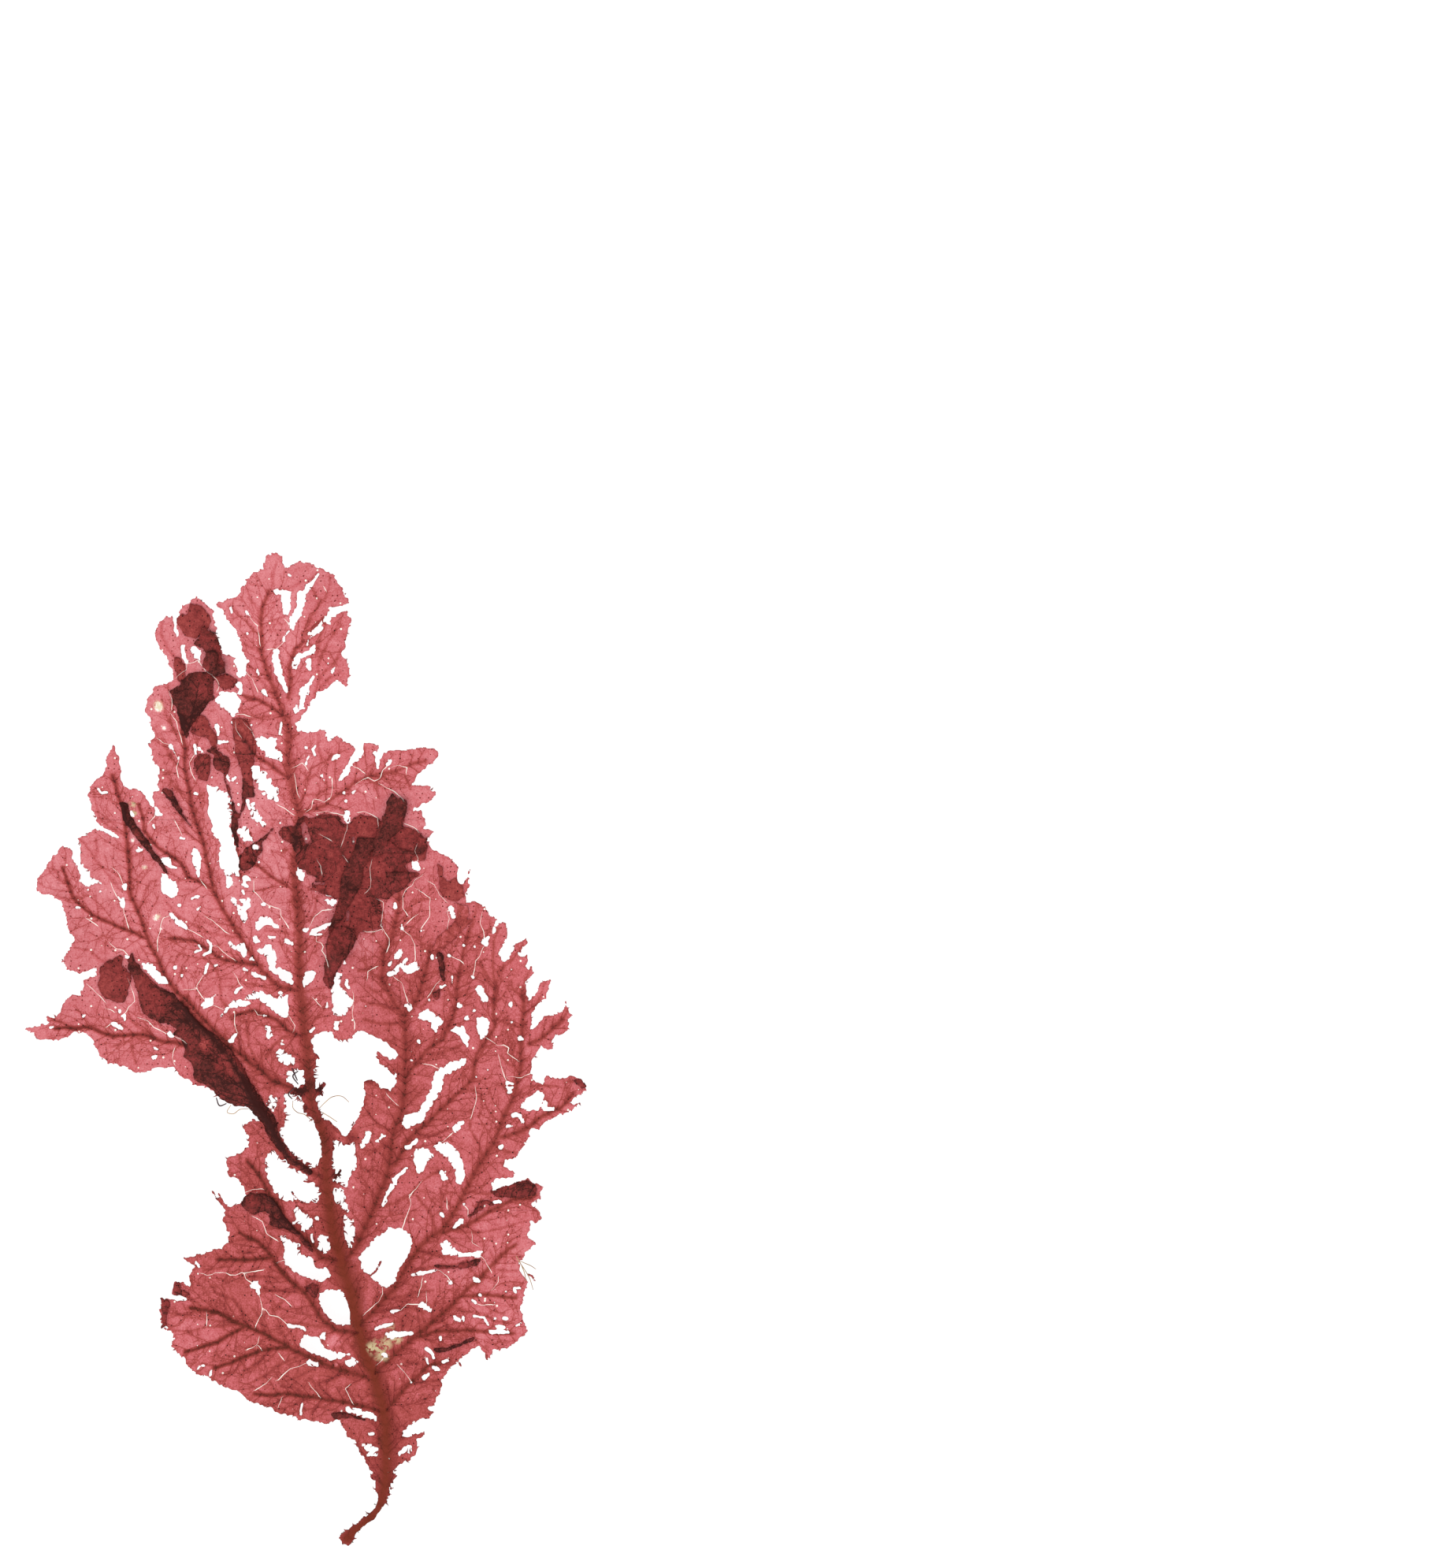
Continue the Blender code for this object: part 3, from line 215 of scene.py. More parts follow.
# Plain finishes: two colours, the scale of the noise between them, and the roughness.
PLAIN_LOOKS = {
    "spur_tissue": ((0.34, 0.055, 0.05), (0.16, 0.025, 0.022), 2.0, 0.6),
    "tan_thread": ((0.52, 0.33, 0.16), (0.30, 0.16, 0.07), 1.0, 0.6),
    "dark_thread": ((0.035, 0.014, 0.02), (0.07, 0.02, 0.02), 1.0, 0.45),
    "holdfast_tissue": ((0.12, 0.075, 0.06), (0.05, 0.03, 0.028), 3.0, 0.6),
    "grit": ((0.62, 0.60, 0.55), (0.30, 0.28, 0.25), 1.5, 0.5),
}

# The holdfast's knob: its middle and its half sizes.
KNOB_CENTRE = (5.55, -66.1, 0.55)
KNOB_HALF_SIZES = (0.85, 0.8, 0.55)

# The grains of grit in the holdfast, with their middle, and those along the stipe, which is the first rib as
# far as its point STIPE_POINTS.
FOOT_GRAINS = 46
FOOT_GRIT_CENTRE = (5.6, -66.3)
STIPE_GRAINS = 18
STIPE_POINTS = 8

# The middle of the photo's frame over the plant, and the frame's height.
PHOTO_CENTRE = (57.07, 35.84)
PHOTO_TALL = 212.27

# A path is x, y, x, y and so on, in tenths of a millimetre from the plant's middle.
# Each rib is its half width at its root and at its tip, and then its path.
AXIS_RIBS = [
    (1.3, 1.9, 56, -662, 66, -651, 82, -639, 96, -625, 103, -610, 106, -595, 108, -570, 109, -540, 108, -510,
     103, -485, 95, -455, 86, -425, 78, -400, 71, -375, 66, -350, 59, -325, 53, -305, 49, -285),
    (1.8, 1.1, 49, -285, 41, -263, 35, -235, 30, -205, 27, -175, 26, -145, 23, -120, 16, -95, 8, -73, 5, -53,
     4, -30, 3, 0, 0, 25, -3, 50, -7, 75),
    (1.1, 0.9, -7, 75, -8, 100, -8, 140, -10, 180, -14, 220, -16, 260, -12, 300, -10, 320, -15, 340, -22,
     370, -26, 400, -24, 430, -29, 449),
]
BLADE_RIBS = [
    (1, 1.1, 56, -283, 68, -268, 80, -240, 96, -205, 110, -170, 115, -140, 118, -110, 128, -85, 134, -50,
     134, -10, 133, 43),
    (0.9, 0.6, 74, -373, 100, -344, 120, -324, 130, -306, 139, -286, 152, -270, 183, -245, 205, -215, 220,
     -185, 235, -155, 255, -125, 265, -95, 280, -65, 289, -30, 290, 10, 294, 50, 292, 80),
    (0.9, 0.5, -30, 448, -42, 483, -54, 512, -61, 536, -61, 565, -59, 598, -50, 618),
    (0.7, 0.4, -24, 475, -22, 516, -15, 541, -3, 552), (0.6, 0.4, -30, 450, -60, 469, -84, 478),
    (0.6, 0.4, 98, -490, 65, -480, 20, -473, -30, -467, -70, -467),
    (0.8, 0.4, 83, -443, 50, -435, 10, -417, -20, -404, -50, -388, -85, -374, -120, -357, -155, -350),
    (0.5, 0.4, -25, -403, -60, -408, -100, -423, -125, -432), (0.5, 0.4, -85, -376, -120, -398, -163, -410),
    (0.8, 0.4, 72, -382, 40, -379, 20, -362, 0, -330, -25, -310, -46, -282, -65, -262, -90, -249),
    (0.5, 0.4, -48, -283, -80, -286, -120, -285),
    (0.9, 0.5, 42, -285, 23, -282, 8, -264, -8, -250, -30, -229, -40, -207, -54, -193, -65, -170, -80, -153),
    (0.9, 0.8, 22, -172, 4, -165, -20, -150, -39, -126, -50, -100, -65, -80, -85, -40, -110, -5, -140, 30,
     -170, 65),
    (0.6, 0.4, -165, 4, -190, 10, -220, 19, -260, 18, -300, 30, -340, 27),
    (0.8, 0.5, 5, -56, -14, -55, -30, -49, -50, -40, -80, -16, -105, 5, -130, 30, -155, 58, -180, 80, -203,
     124, -212, 140, -223, 175, -237, 205, -240, 250, -243, 290, -250, 330, -263, 370),
    (0.5, 0.4, -215, 148, -250, 163, -290, 180, -315, 205, -330, 245),
    (0.8, 0.5, -9, 80, -36, 85, -57, 104, -72, 126, -90, 157, -110, 185, -125, 215, -133, 250, -145, 295,
     -155, 330, -163, 370, -164, 410, -170, 450),
    (0.5, 0.4, -129, 218, -161, 233, -170, 253, -200, 272, -218, 293, -226, 330),
    (0.6, 0.4, -59, 112, -110, 120, -150, 145, -185, 149),
    (0.6, 0.4, -5, 18, -25, 25, -40, 40, -70, 52, -98, 44),
    (0.5, 0.4, -18, 215, -40, 230, -65, 248, -80, 252), (0.5, 0.4, -24, 365, -50, 384, -74, 400, -93, 430),
    (0.6, 0.5, -5, 319, 25, 329, 42, 345, 70, 363, 90, 371, 120, 375, 160, 390),
    (0.9, 0.6, 133, 43, 115, 70, 103, 96, 106, 130, 118, 160, 125, 190, 125, 210),
    (0.9, 0.5, 133, 43, 153, 75, 163, 110, 169, 140),
    (0.6, 0.4, 134, -40, 163, -2, 186, 14, 200, 50, 205, 90, 212, 130, 220, 160),
    (0.7, 0.4, 120, -155, 140, -120, 169, -95, 200, -65, 225, -40, 229, -10, 255, 30, 254, 90),
    (0.6, 0.4, 183, -249, 220, -239, 250, -218, 280, -205, 310, -198),
    (0.6, 0.4, 263, -120, 290, -110, 320, -92, 345, -80, 360, -60), (0.5, 0.4, 300, 5, 325, 20, 345, 40),
    (0.8, 0.5, 92, -438, 115, -418, 140, -395, 170, -370, 195, -349, 220, -323, 245, -300, 265, -280, 285,
     -265),
    (0.5, 0.4, 145, -393, 170, -382, 210, -380, 250, -384, 280, -384),
    (0.5, 0.4, 210, -335, 250, -334, 283, -336),
    (0.7, 0.4, 108, -490, 125, -470, 145, -448, 165, -430, 185, -422),
]
RIBS = AXIS_RIBS + BLADE_RIBS

# The paths of the ribs' own ribs, which are thinner and soft.
LESSER_RIBS = [
    (-45, 624, -45, 643, -41, 658), (-51, 620, -30, 621, -12, 628, 6, 635, 16, 645),
    (-58, 570, -42, 579, -30, 585), (-61, 545, -66, 563, -78, 578, -88, 586, -100, 595),
    (-60, 583, -68, 600, -76, 610, -80, 623, -81, 632), (-60, 538, -75, 544, -86, 550),
    (-7, 556, 3, 565, 12, 573, 26, 584), (-3, 558, 4, 580, 10, 590, 16, 600, 28, 610, 32, 625, 31, 640),
    (9, 622, 16, 610, 26, 607), (12, 478, 17, 500, 16, 518, 23, 535, 30, 550, 40, 563, 46, 576),
    (18, 502, 30, 513, 43, 526, 49, 540), (15, 535, 19, 560, 28, 572), (19, 488, 36, 502, 49, 508),
    (-42, 476, -57, 493, -72, 510, -80, 520), (-26, 448, -46, 451, -65, 448, -80, 443),
    (-162, 406, -180, 434, -191, 454, -197, 480), (-160, 370, -183, 394, -196, 420),
    (-168, 518, -186, 540, -195, 560, -195, 578), (-318, 220, -332, 229, -343, 245, -342, 258),
    (-311, 204, -320, 201, -335, 206, -350, 213),
    (-238, 210, -253, 218, -267, 232, -277, 247, -288, 258, -293, 268, -300, 278, -309, 286),
    (-288, 257, -283, 268, -284, 285), (-246, 289, -265, 299, -280, 315, -286, 335, -289, 350),
    (-240, 260, -228, 264, -218, 269), (-226, 190, -214, 217, -208, 226, -202, 227),
    (-142, 279, -162, 293, -170, 315, -176, 334), (-154, 334, -170, 346, -185, 363, -198, 378),
    (-93, 152, -125, 156, -145, 164, -167, 175, -180, 184, -190, 202),
    (-255, 116, -278, 120, -293, 133, -313, 139), (-206, 16, -220, 24, -235, 36, -241, 50),
    (-216, 17, -240, 9, -265, 2), (-236, 18, -237, 0, -232, -20), (-276, 21, -295, 34, -310, 52),
    (-312, 28, -332, 36, -348, 44), (-156, 57, -164, 80, -169, 95, -168, 110),
    (-100, 36, -115, 70, -116, 95, -128, 115, -140, 125), (-10, 120, -23, 132, -36, 146),
    (-10, 156, -25, 156, -40, 160, -56, 161), (-9, 172, 6, 175, 12, 188, 14, 203), (-6, 76, 16, 80, 32, 84),
    (-2, 30, 18, 44, 26, 56), (-10, 17, -30, 16, -46, 3, -55, -10), (-68, -22, -79, 8, -80, 30, -85, 47),
    (-83, -13, -93, 6, -93, 26, -102, 46), (-34, 82, -60, 84, -82, 90), (-30, 230, -50, 218, -70, 214),
    (-13, 275, -32, 266, -48, 268), (123, 54, 108, 57, 90, 62, 75, 66), (131, 35, 115, 33, 95, 35, 78, 41),
    (104, 115, 85, 109, 70, 105), (109, 83, 96, 78, 84, 86),
    (-10, 317, -5, 335, -1, 360, 6, 380, 22, 388, 34, 399), (-3, 344, 12, 344, 34, 354),
    (-1, 362, 13, 372, 20, 386), (22, 328, 38, 326, 53, 322), (85, 370, 94, 390, 90, 410),
    (115, 374, 136, 364, 140, 350), (100, 372, 96, 356, 98, 340), (23, 388, 18, 406, 16, 424),
    (154, 56, 168, 65, 174, 80), (202, 70, 215, 80, 230, 86), (213, 110, 202, 100, 196, 86),
    (217, 145, 226, 176, 232, 194), (254, 60, 256, 90, 263, 106, 272, 116, 283, 126, 293, 140),
    (256, 80, 242, 100, 236, 120), (254, 90, 253, 125, 255, 150, 263, 164), (252, 46, 270, 34, 286, 30),
    (295, 46, 310, 60, 318, 75, 324, 90), (294, 70, 297, 93, 304, 110), (330, 29, 346, 36, 352, 52),
    (164, -8, 185, -7, 205, 2, 213, 9), (150, -116, 170, -118, 190, -110),
    (218, -52, 236, -60, 238, -80, 233, -93), (240, -146, 230, -125, 222, -110, 223, -94),
    (280, -64, 300, -50, 320, -50, 345, -52), (252, -130, 267, -139, 283, -141),
    (287, -26, 273, -20, 263, -10), (134, -62, 120, -59, 95, -50),
    (190, -244, 210, -248, 240, -248, 270, -240, 298, -233), (176, -250, 169, -224, 157, -208, 150, -198),
    (94, -216, 123, -208, 142, -196, 152, -184, 170, -170, 184, -164), (117, -130, 100, -133, 85, -144),
    (118, -112, 98, -104, 84, -84), (110, -174, 94, -164, 82, -166), (218, -194, 240, -196, 265, -193),
    (202, -217, 188, -204, 180, -188), (120, -100, 136, -86, 150, -84),
    (142, -298, 170, -293, 195, -293, 220, -286), (152, -272, 180, -280, 206, -283),
    (108, -336, 130, -336, 150, -330, 170, -326), (93, -354, 110, -353, 135, -348, 155, -354, 160, -370),
    (200, -340, 204, -324, 198, -310), (230, -322, 230, -306, 222, -298), (254, -304, 255, -287, 248, -274),
    (268, -290, 272, -270, 280, -255), (195, -349, 220, -356, 240, -360, 255, -370, 280, -371),
    (260, -300, 285, -302), (153, -386, 170, -395, 186, -402), (123, -412, 136, -423, 152, -426),
    (140, -452, 160, -451, 182, -450), (180, -363, 190, -374, 194, -388), (0, -326, -30, -328, -56, -324),
    (-60, -268, -76, -277, -94, -276), (-74, -256, -90, -259, -102, -264), (-56, -274, -49, -263, -48, -250),
    (36, -376, 0, -372, -26, -370), (-26, -310, -50, -308, -76, -308), (-10, -318, -30, -340, -44, -354),
    (-104, -285, -116, -296, -140, -298),
    (-82, -375, -88, -355, -98, -340, -110, -337, -123, -330, -132, -315),
    (-135, -352, -150, -342, -175, -330), (-135, -354, -156, -358, -170, -359, -190, -357),
    (-95, -371, -120, -375, -145, -380, -180, -382), (-56, -384, -60, -366, -74, -350),
    (-5, -412, -20, -420, -40, -430, -55, -444, -80, -453), (22, -422, 8, -432, -10, -443, -30, -449),
    (50, -436, 36, -446, 16, -452), (25, -475, 13, -484, 6, -494), (0, -470, -10, -478, -20, -486),
    (-25, -468, -40, -478, -48, -484), (30, -475, 25, -462, 15, -451), (2, -470, -14, -459, -34, -457),
    (66, -483, 54, -468, 54, -456), (-50, -409, -64, -424, -86, -436), (-84, -420, -98, -436, -116, -444),
    (109, -520, 94, -534, 82, -538), (109, -540, 122, -530, 134, -526),
]

# Tears and holes in the blades: their paths by their half width.
TEARS = {
    0.12: [(7, 560, 3, 554, 1, 546)],
    0.13: [(-124, 112, -120, 114), (-33, 6, -29, 5)],
    0.14: [
        (16, 642, 9, 632), (-22, 566, -29, 559, -29, 553), (42, 519, 36, 508), (-102, 596, -101, 588),
        (-24, 642, -21, 640), (-310, 191, -306, 191), (-346, 29, -342, 29), (-86, 215, -83, 210),
        (-48, 152, -41, 152), (92, 402, 95, 394), (197, 97, 198, 90), (54, 121, 54, 118),
        (-4, -478, -5, -486, -7, -494), (-193, -373, -188, -377)],
    0.15: [
        (-80, 593, -76, 586), (-174, 396, -172, 392), (-108, 370, -104, 362), (-170, 285, -164, 284),
        (-205, 1, -201, 0), (-146, 140, -142, 135), (14, 410, 10, 406, 13, 398), (63, 346, 68, 349),
        (142, -15, 145, -15), (162, -418, 165, -428)],
    0.16: [
        (-66, 512, -64, 505), (-34, 442, -36, 426), (-255, 205, -252, 200), (-208, 302, -206, 298),
        (-151, 346, -148, 344), (-150, 131, -142, 133), (-57, 45, -54, 45), (28, 209, 36, 206),
        (-1, 387, 1, 393, 4, 397), (114, -355, 128, -351), (284, -375, 292, -372), (182, -389, 183, -393),
        (-148, -435, -144, -430, -138, -430)],
    0.17: [
        (-179, 587, -176, 564), (-151, 412, -149, 399), (-147, 190, -143, 192), (8, 25, 13, 29),
        (254, 158, 256, 168), (195, -317, 197, -317)],
    0.18: [
        (-132, 114, -136, 102), (29, 62, 29, 57), (9, 157, 22, 156), (135, 122, 132, 116),
        (143, -306, 154, -302, 174, -299), (227, -362, 240, -365, 246, -375), (-129, -436, -129, -442)],
    0.2: [
        (-58, 484, -53, 477), (-212, 448, -210, 444), (-184, 410, -180, 402), (-144, 406, -140, 403),
        (-75, 438), (-127, 367), (-97, 368, -100, 364), (-282, 352, -278, 347, -269, 346),
        (-280, 298, -266, 293, -254, 286), (-228, 274, -223, 270, -230, 269), (-182, 246, -176, 245),
        (-235, 340), (-168, 293), (-156, 204, -145, 207), (-306, 214), (-278, 103), (-303, 43, -300, 47),
        (-253, 51, -252, 48), (-207, -13, -203, -9), (-168, 98), (-83, 108, -79, 107), (-73, 121, -69, 119),
        (-35, 77, -33, 76), (22, 364), (-35, 306), (113, 114, 116, 118), (147, 116), (276, 108), (288, 130),
        (120, 196, 120, 191), (157, 160), (184, 84, 189, 87), (151, 9, 152, 6), (230, -38),
        (183, -223, 185, -226), (273, -104, 278, -104), (236, -334, 238, -336), (270, -328),
        (282, -328, 282, -324, 288, -324), (212, -364, 213, -368), (257, -376, 268, -378), (255, -365),
        (-150, -288, -146, -294), (9, -252, 10, -262), (87, -521, 91, -521), (98, -534), (-93, 345),
        (-78, 334, -76, 324)],
    0.22: [
        (-169, 578, -164, 568), (-245, 124, -241, 125), (-133, 147, -129, 141, -130, 132, -138, 126),
        (46, 366, 50, 372), (60, 329), (167, 65), (277, 36), (130, 165, 132, 162), (170, 126, 171, 122),
        (81, 58), (55, 94, 54, 86, 58, 82), (273, -53, 278, -53), (274, -59, 276, -59),
        (115, -184, 111, -196, 104, -213), (162, -405, 170, -412, 172, -418), (184, -423, 190, -421)],
    0.24: [
        (-121, 437, -118, 426), (-294, 214), (-95, 78, -91, 83, -86, 85), (12, 160, 22, 167, 32, 170),
        (20, 370, 21, 368), (95, 392, 97, 386, 96, 380), (194, 127), (278, 62, 277, 59), (289, 13, 292, 12),
        (255, -206, 262, -207), (226, -310, 232, -313), (254, -343), (95, -379, 106, -375, 119, -371),
        (267, -365, 271, -365), (-24, -374, -10, -375, 0, -380), (-94, 359)],
    0.25: [
        (9, 502, 5, 494), (-117, 416, -106, 417), (-102, 443, -99, 443), (-245, 222, -244, 217),
        (-237, 322, -237, 316), (-63, 252), (110, 386, 114, 390), (228, 138), (261, -134, 264, -132),
        (189, -166), (-64, -331)],
    0.26: [
        (-167, 544, -166, 529, -164, 524), (-202, 319, -197, 316), (-184, 181, -174, 169, -162, 163),
        (-83, 232, -78, 230), (36, 395, 44, 396), (50, 348), (213, 140), (273, -46, 279, -47), (214, -212),
        (225, -340, 229, -345), (250, -383, 272, -383), (173, -432, 179, -434), (143, -451), (-100, 366)],
    0.28: [
        (33, 589, 30, 577), (22, 570, 14, 565, 9, 562), (-4, 479, -6, 467, -5, 461), (30, 522), (-278, 213),
        (-85, 224, -80, 221), (-26, 146, -20, 143), (-2, 161, 3, 162), (-71, 102, -55, 95),
        (-54, 29, -49, 23, -47, 17), (0, 408), (54, 335), (135, -161, 126, -170, 119, -179),
        (137, -134, 149, -124)],
    0.3: [
        (-39, 618, -21, 617), (8, 630, 1, 622), (54, 598, 46, 596, 37, 595), (-36, 503, -31, 492, -28, 483),
        (-79, 561), (-45, 396, -36, 392), (-295, 104, -286, 107), (-246, 44, -245, 40), (-259, 34, -248, 28),
        (-104, 11, -96, 20), (-67, 149, -61, 146), (54, 375, 60, 384), (122, 125, 129, 131),
        (113, 100, 121, 104, 125, 112), (242, 143, 247, 151), (278, -88, 288, -88, 292, -98),
        (201, -362, 207, -367), (160, -446, 165, -442), (-92, 329)],
    0.32: [(10, 543, 8, 538), (226, 97)],
    0.33: [
        (-8, 598, -12, 583), (4, 523, 5, 514), (-90, 492, -88, 487, -89, 482), (135, 106, 148, 109),
        (226, 52), (196, 190, 198, 184, 200, 179), (156, -346, 162, -352, 168, -355), (24, -385, 23, -390)],
    0.34: [
        (5, 534, -6, 533, -12, 529, -14, 518), (184, -168, 186, -173, 191, -176),
        (28, -93, 39, -104, 49, -115)],
    0.35: [(14, -228)],
    0.36: [
        (2, 490, -4, 484), (-249, 198, -247, 191), (38, 277, 46, 268, 52, 260), (232, 83, 238, 73, 244, 66),
        (112, -387, 120, -384, 132, -385, 142, -386), (6, -423, 14, -426), (-69, 274, -66, 273)],
    0.38: [(-19, 580, -18, 570), (44, 590), (-151, 541, -147, 532), (-173, 194), (-56, 196), (247, -28)],
    0.4: [
        (-41, 537, -41, 525, -38, 510), (-87, 524, -88, 506), (35, 199, 40, 200), (-8, 239, -5, 231),
        (322, -74, 324, -82, 334, -82)],
    0.42: [
        (-177, 110), (-185, 22, -184, 16), (55, 320, 55, 310), (146, 250, 150, 245), (139, 57), (216, 42),
        (-69, -319, -66, -323)],
    0.45: [(-5, 616, -7, 604), (-13, 462, -14, 458), (-190, 255, -187, 248)],
    0.46: [(206, 59)],
    0.5: [(-28, 612, -25, 600, -27, 591), (106, -415)],
}

# Fine pale cracks: the path.
CRACKS = [
    (-176, 504, -168, 510, -163, 514, -164, 522, -153, 524, -147, 526, -142, 518, -135, 510, -129, 507, -122,
     500, -118, 492, -120, 484),
    (-186, 483, -182, 473, -183, 460), (-200, 420, -193, 414, -186, 412),
    (-183, 453, -175, 442, -173, 432, -169, 422, -168, 415), (-178, 400, -173, 392, -176, 380, -174, 368),
    (-150, 400, -157, 389, -155, 373, -151, 365), (-97, 442, -96, 432, -90, 422),
    (-83, 440, -76, 432, -71, 424), (-76, 586, -72, 580, -65, 574), (-29, 551, -36, 546, -41, 542, -52, 541),
    (-81, 508, -73, 500, -66, 483), (-94, 453, -84, 453, -76, 450), (-29, 580, -23, 573), (24, 626, 28, 620),
    (-66, 572, -63, 548), (-16, 370, -14, 360, -11, 347, -9, 341), (1, 320, 8, 326, 9, 335),
    (11, 338, 18, 337, 24, 333, 32, 340, 34, 356, 33, 365), (12, 319, 26, 320, 36, 318, 50, 317),
    (68, 358, 76, 364, 84, 368, 92, 363, 99, 366, 103, 378, 109, 383),
    (101, 359, 114, 353, 122, 346, 130, 338), (70, 320, 78, 321, 88, 316, 96, 311, 96, 302),
    (117, 382, 126, 384, 137, 380, 136, 372), (55, 306, 56, 296, 52, 286, 48, 276), (20, 290, 32, 281),
    (52, 260, 56, 254), (133, 305, 144, 300, 151, 293), (151, 276, 148, 268, 150, 258, 147, 254),
    (15, 254, 19, 246, 20, 236), (-39, 332, -30, 327, -18, 318), (64, 382, 78, 374),
    (-18, 381, -6, 388, 1, 379),
    (-72, 228, -71, 214, -63, 207, -57, 200, -50, 193, -34, 188, -34, 180, -30, 174, -23, 164),
    (16, 158, 16, 146, 22, 144, 25, 138, 22, 133, 27, 124, 31, 113), (6, 166, 12, 180, 21, 188, 34, 190),
    (-98, 103, -93, 97, -90, 90, -85, 85), (-129, 140, -120, 140, -112, 132, -105, 126, -96, 120),
    (11, 70, 16, 65, 21, 58), (-21, 42, -14, 32, -16, 26), (-69, 52, -65, 47, -58, 46),
    (64, 76, 64, 45, 67, 34, 67, 27), (83, 96, 83, 106, 95, 112),
    (88, 254, 86, 245, 88, 230, 86, 220, 80, 212),
    (98, 203, 105, 198, 105, 190, 103, 175, 101, 168, 106, 158, 112, 150, 112, 140, 109, 132),
    (102, 163, 95, 160, 80, 160), (131, 162, 142, 154, 146, 140, 146, 120),
    (156, 235, 146, 227, 144, 220, 134, 213, 130, 205, 130, 190, 137, 180),
    (150, 216, 160, 210, 168, 203, 166, 180, 157, 164), (166, 226, 174, 222, 180, 208, 190, 198),
    (150, 180, 136, 169), (238, 184, 235, 170, 240, 160, 241, 150),
    (240, 136, 235, 126, 229, 120, 228, 110, 226, 100), (197, 126, 206, 122, 212, 117),
    (124, 92, 128, 90, 132, 78, 137, 65), (180, 92, 172, 81, 166, 70), (190, 185, 193, 176, 190, 165),
    (116, 100, 124, 92), (-296, 86, -282, 74, -272, 63), (-265, 142, -256, 134, -248, 133, -242, 127),
    (-240, 93, -236, 85, -233, 75, -232, 63, -240, 56, -245, 48),
    (-226, 42, -215, 38, -208, 30, -195, 25, -190, 22), (-180, 16, -170, 12, -164, 8),
    (-179, 0, -180, -12, -178, -20), (-136, 101, -147, 86, -146, 80, -141, 72, -135, 66),
    (-165, 81, -148, 82), (-126, 60, -114, 54), (-98, 50, -97, 35, -94, 24), (-261, 36, -269, 30),
    (-270, 54, -260, 50), (-135, 180, -125, 172, -105, 158), (-248, 190, -244, 176, -240, 163),
    (-264, 224, -259, 213, -256, 205), (-262, 245, -254, 234, -248, 224),
    (-182, 182, -192, 176, -198, 166, -202, 146, -202, 134), (-160, 162, -148, 156, -140, 152),
    (-214, 306, -206, 316), (-168, 290, -178, 306), (-144, 228, -136, 218), (-298, 176, -282, 166),
    (-142, -303, -135, -306, -128, -305, -124, -302, -110, -303, -104, -307, -96, -307, -88, -302, -84, -303,
     -81, -310, -73, -316),
    (-86, -302, -70, -301, -59, -299),
    (-63, -333, -61, -345, -60, -350, -54, -353, -48, -360, -38, -362, -30, -368, -25, -373),
    (-60, -350, -61, -360, -68, -374), (0, -424, -10, -429, -20, -432, -30, -440, -38, -448),
    (-46, -446, -54, -453, -69, -461), (-63, -392, -65, -400, -72, -405, -80, -408), (-65, -400, -60, -406),
    (-134, -358, -134, -374), (3, -452, 10, -462, 16, -470), (58, -454, 52, -460, 57, -469, 63, -478),
    (-34, -473, -39, -484), (-38, -412, -31, -420), (-40, -332, -26, -340, -20, -346),
    (140, -198, 142, -208, 138, -220, 133, -232, 129, -242), (156, -180, 145, -192, 140, -200),
    (228, -52, 230, -64, 228, -78, 224, -93), (186, -126, 196, -116),
    (260, -10, 264, -24, 266, -32, 271, -43), (244, 14, 258, 6, 266, 6, 274, 1, 272, -6, 285, -15),
    (160, -20, 170, -22, 178, -26), (110, -60, 122, -75), (275, -37, 290, -39, 304, -34),
    (190, -202, 191, -215), (220, -226, 220, -218, 216, -214),
    (104, -322, 105, -330, 99, -340, 90, -347, 80, -357), (128, -351, 136, -345, 154, -346),
    (236, -282, 242, -288, 246, -295, 250, -302), (157, -310, 156, -318, 151, -334),
    (180, -299, 190, -307, 196, -316), (225, -250, 225, -262, 233, -268), (124, -429, 132, -436, 142, -450),
    (162, -330, 163, -344), (96, -426, 105, -418), (226, -344, 238, -348, 252, -346),
    (252, -326, 260, -316, 260, -310), (-83, -195, -73, -191, -60, -191),
    (-73, -226, -60, -233, -54, -250, -40, -258), (-36, -288, -26, -286),
]

# How much pigment single membrane holds, by the place it is at: x, y and the pigment.
MEMBRANE_TONES = [
    (-4, 57, 0.2), (4, 56, 0.31), (-18, 53, 0.24), (-19.5, 40, 0.28), (14, 38, 0.27), (-31, 23, 0.2),
    (-27, 31, 0.21), (-19, 15, 0.24), (-28, 5, 0.26), (-4, 26, 0.2), (14, 20, 0.31), (17, 12, 0.39),
    (25, 14, 0.34), (31, 4, 0.33), (22, -7, 0.34), (9, -8, 0.42), (17, -22, 0.35), (25, -32, 0.26),
    (14, -36, 0.41), (-7, -12, 0.41), (-9, -34, 0.43), (-14, -40, 0.33), (-2, -45, 0.42), (8, -56, 0.5),
]

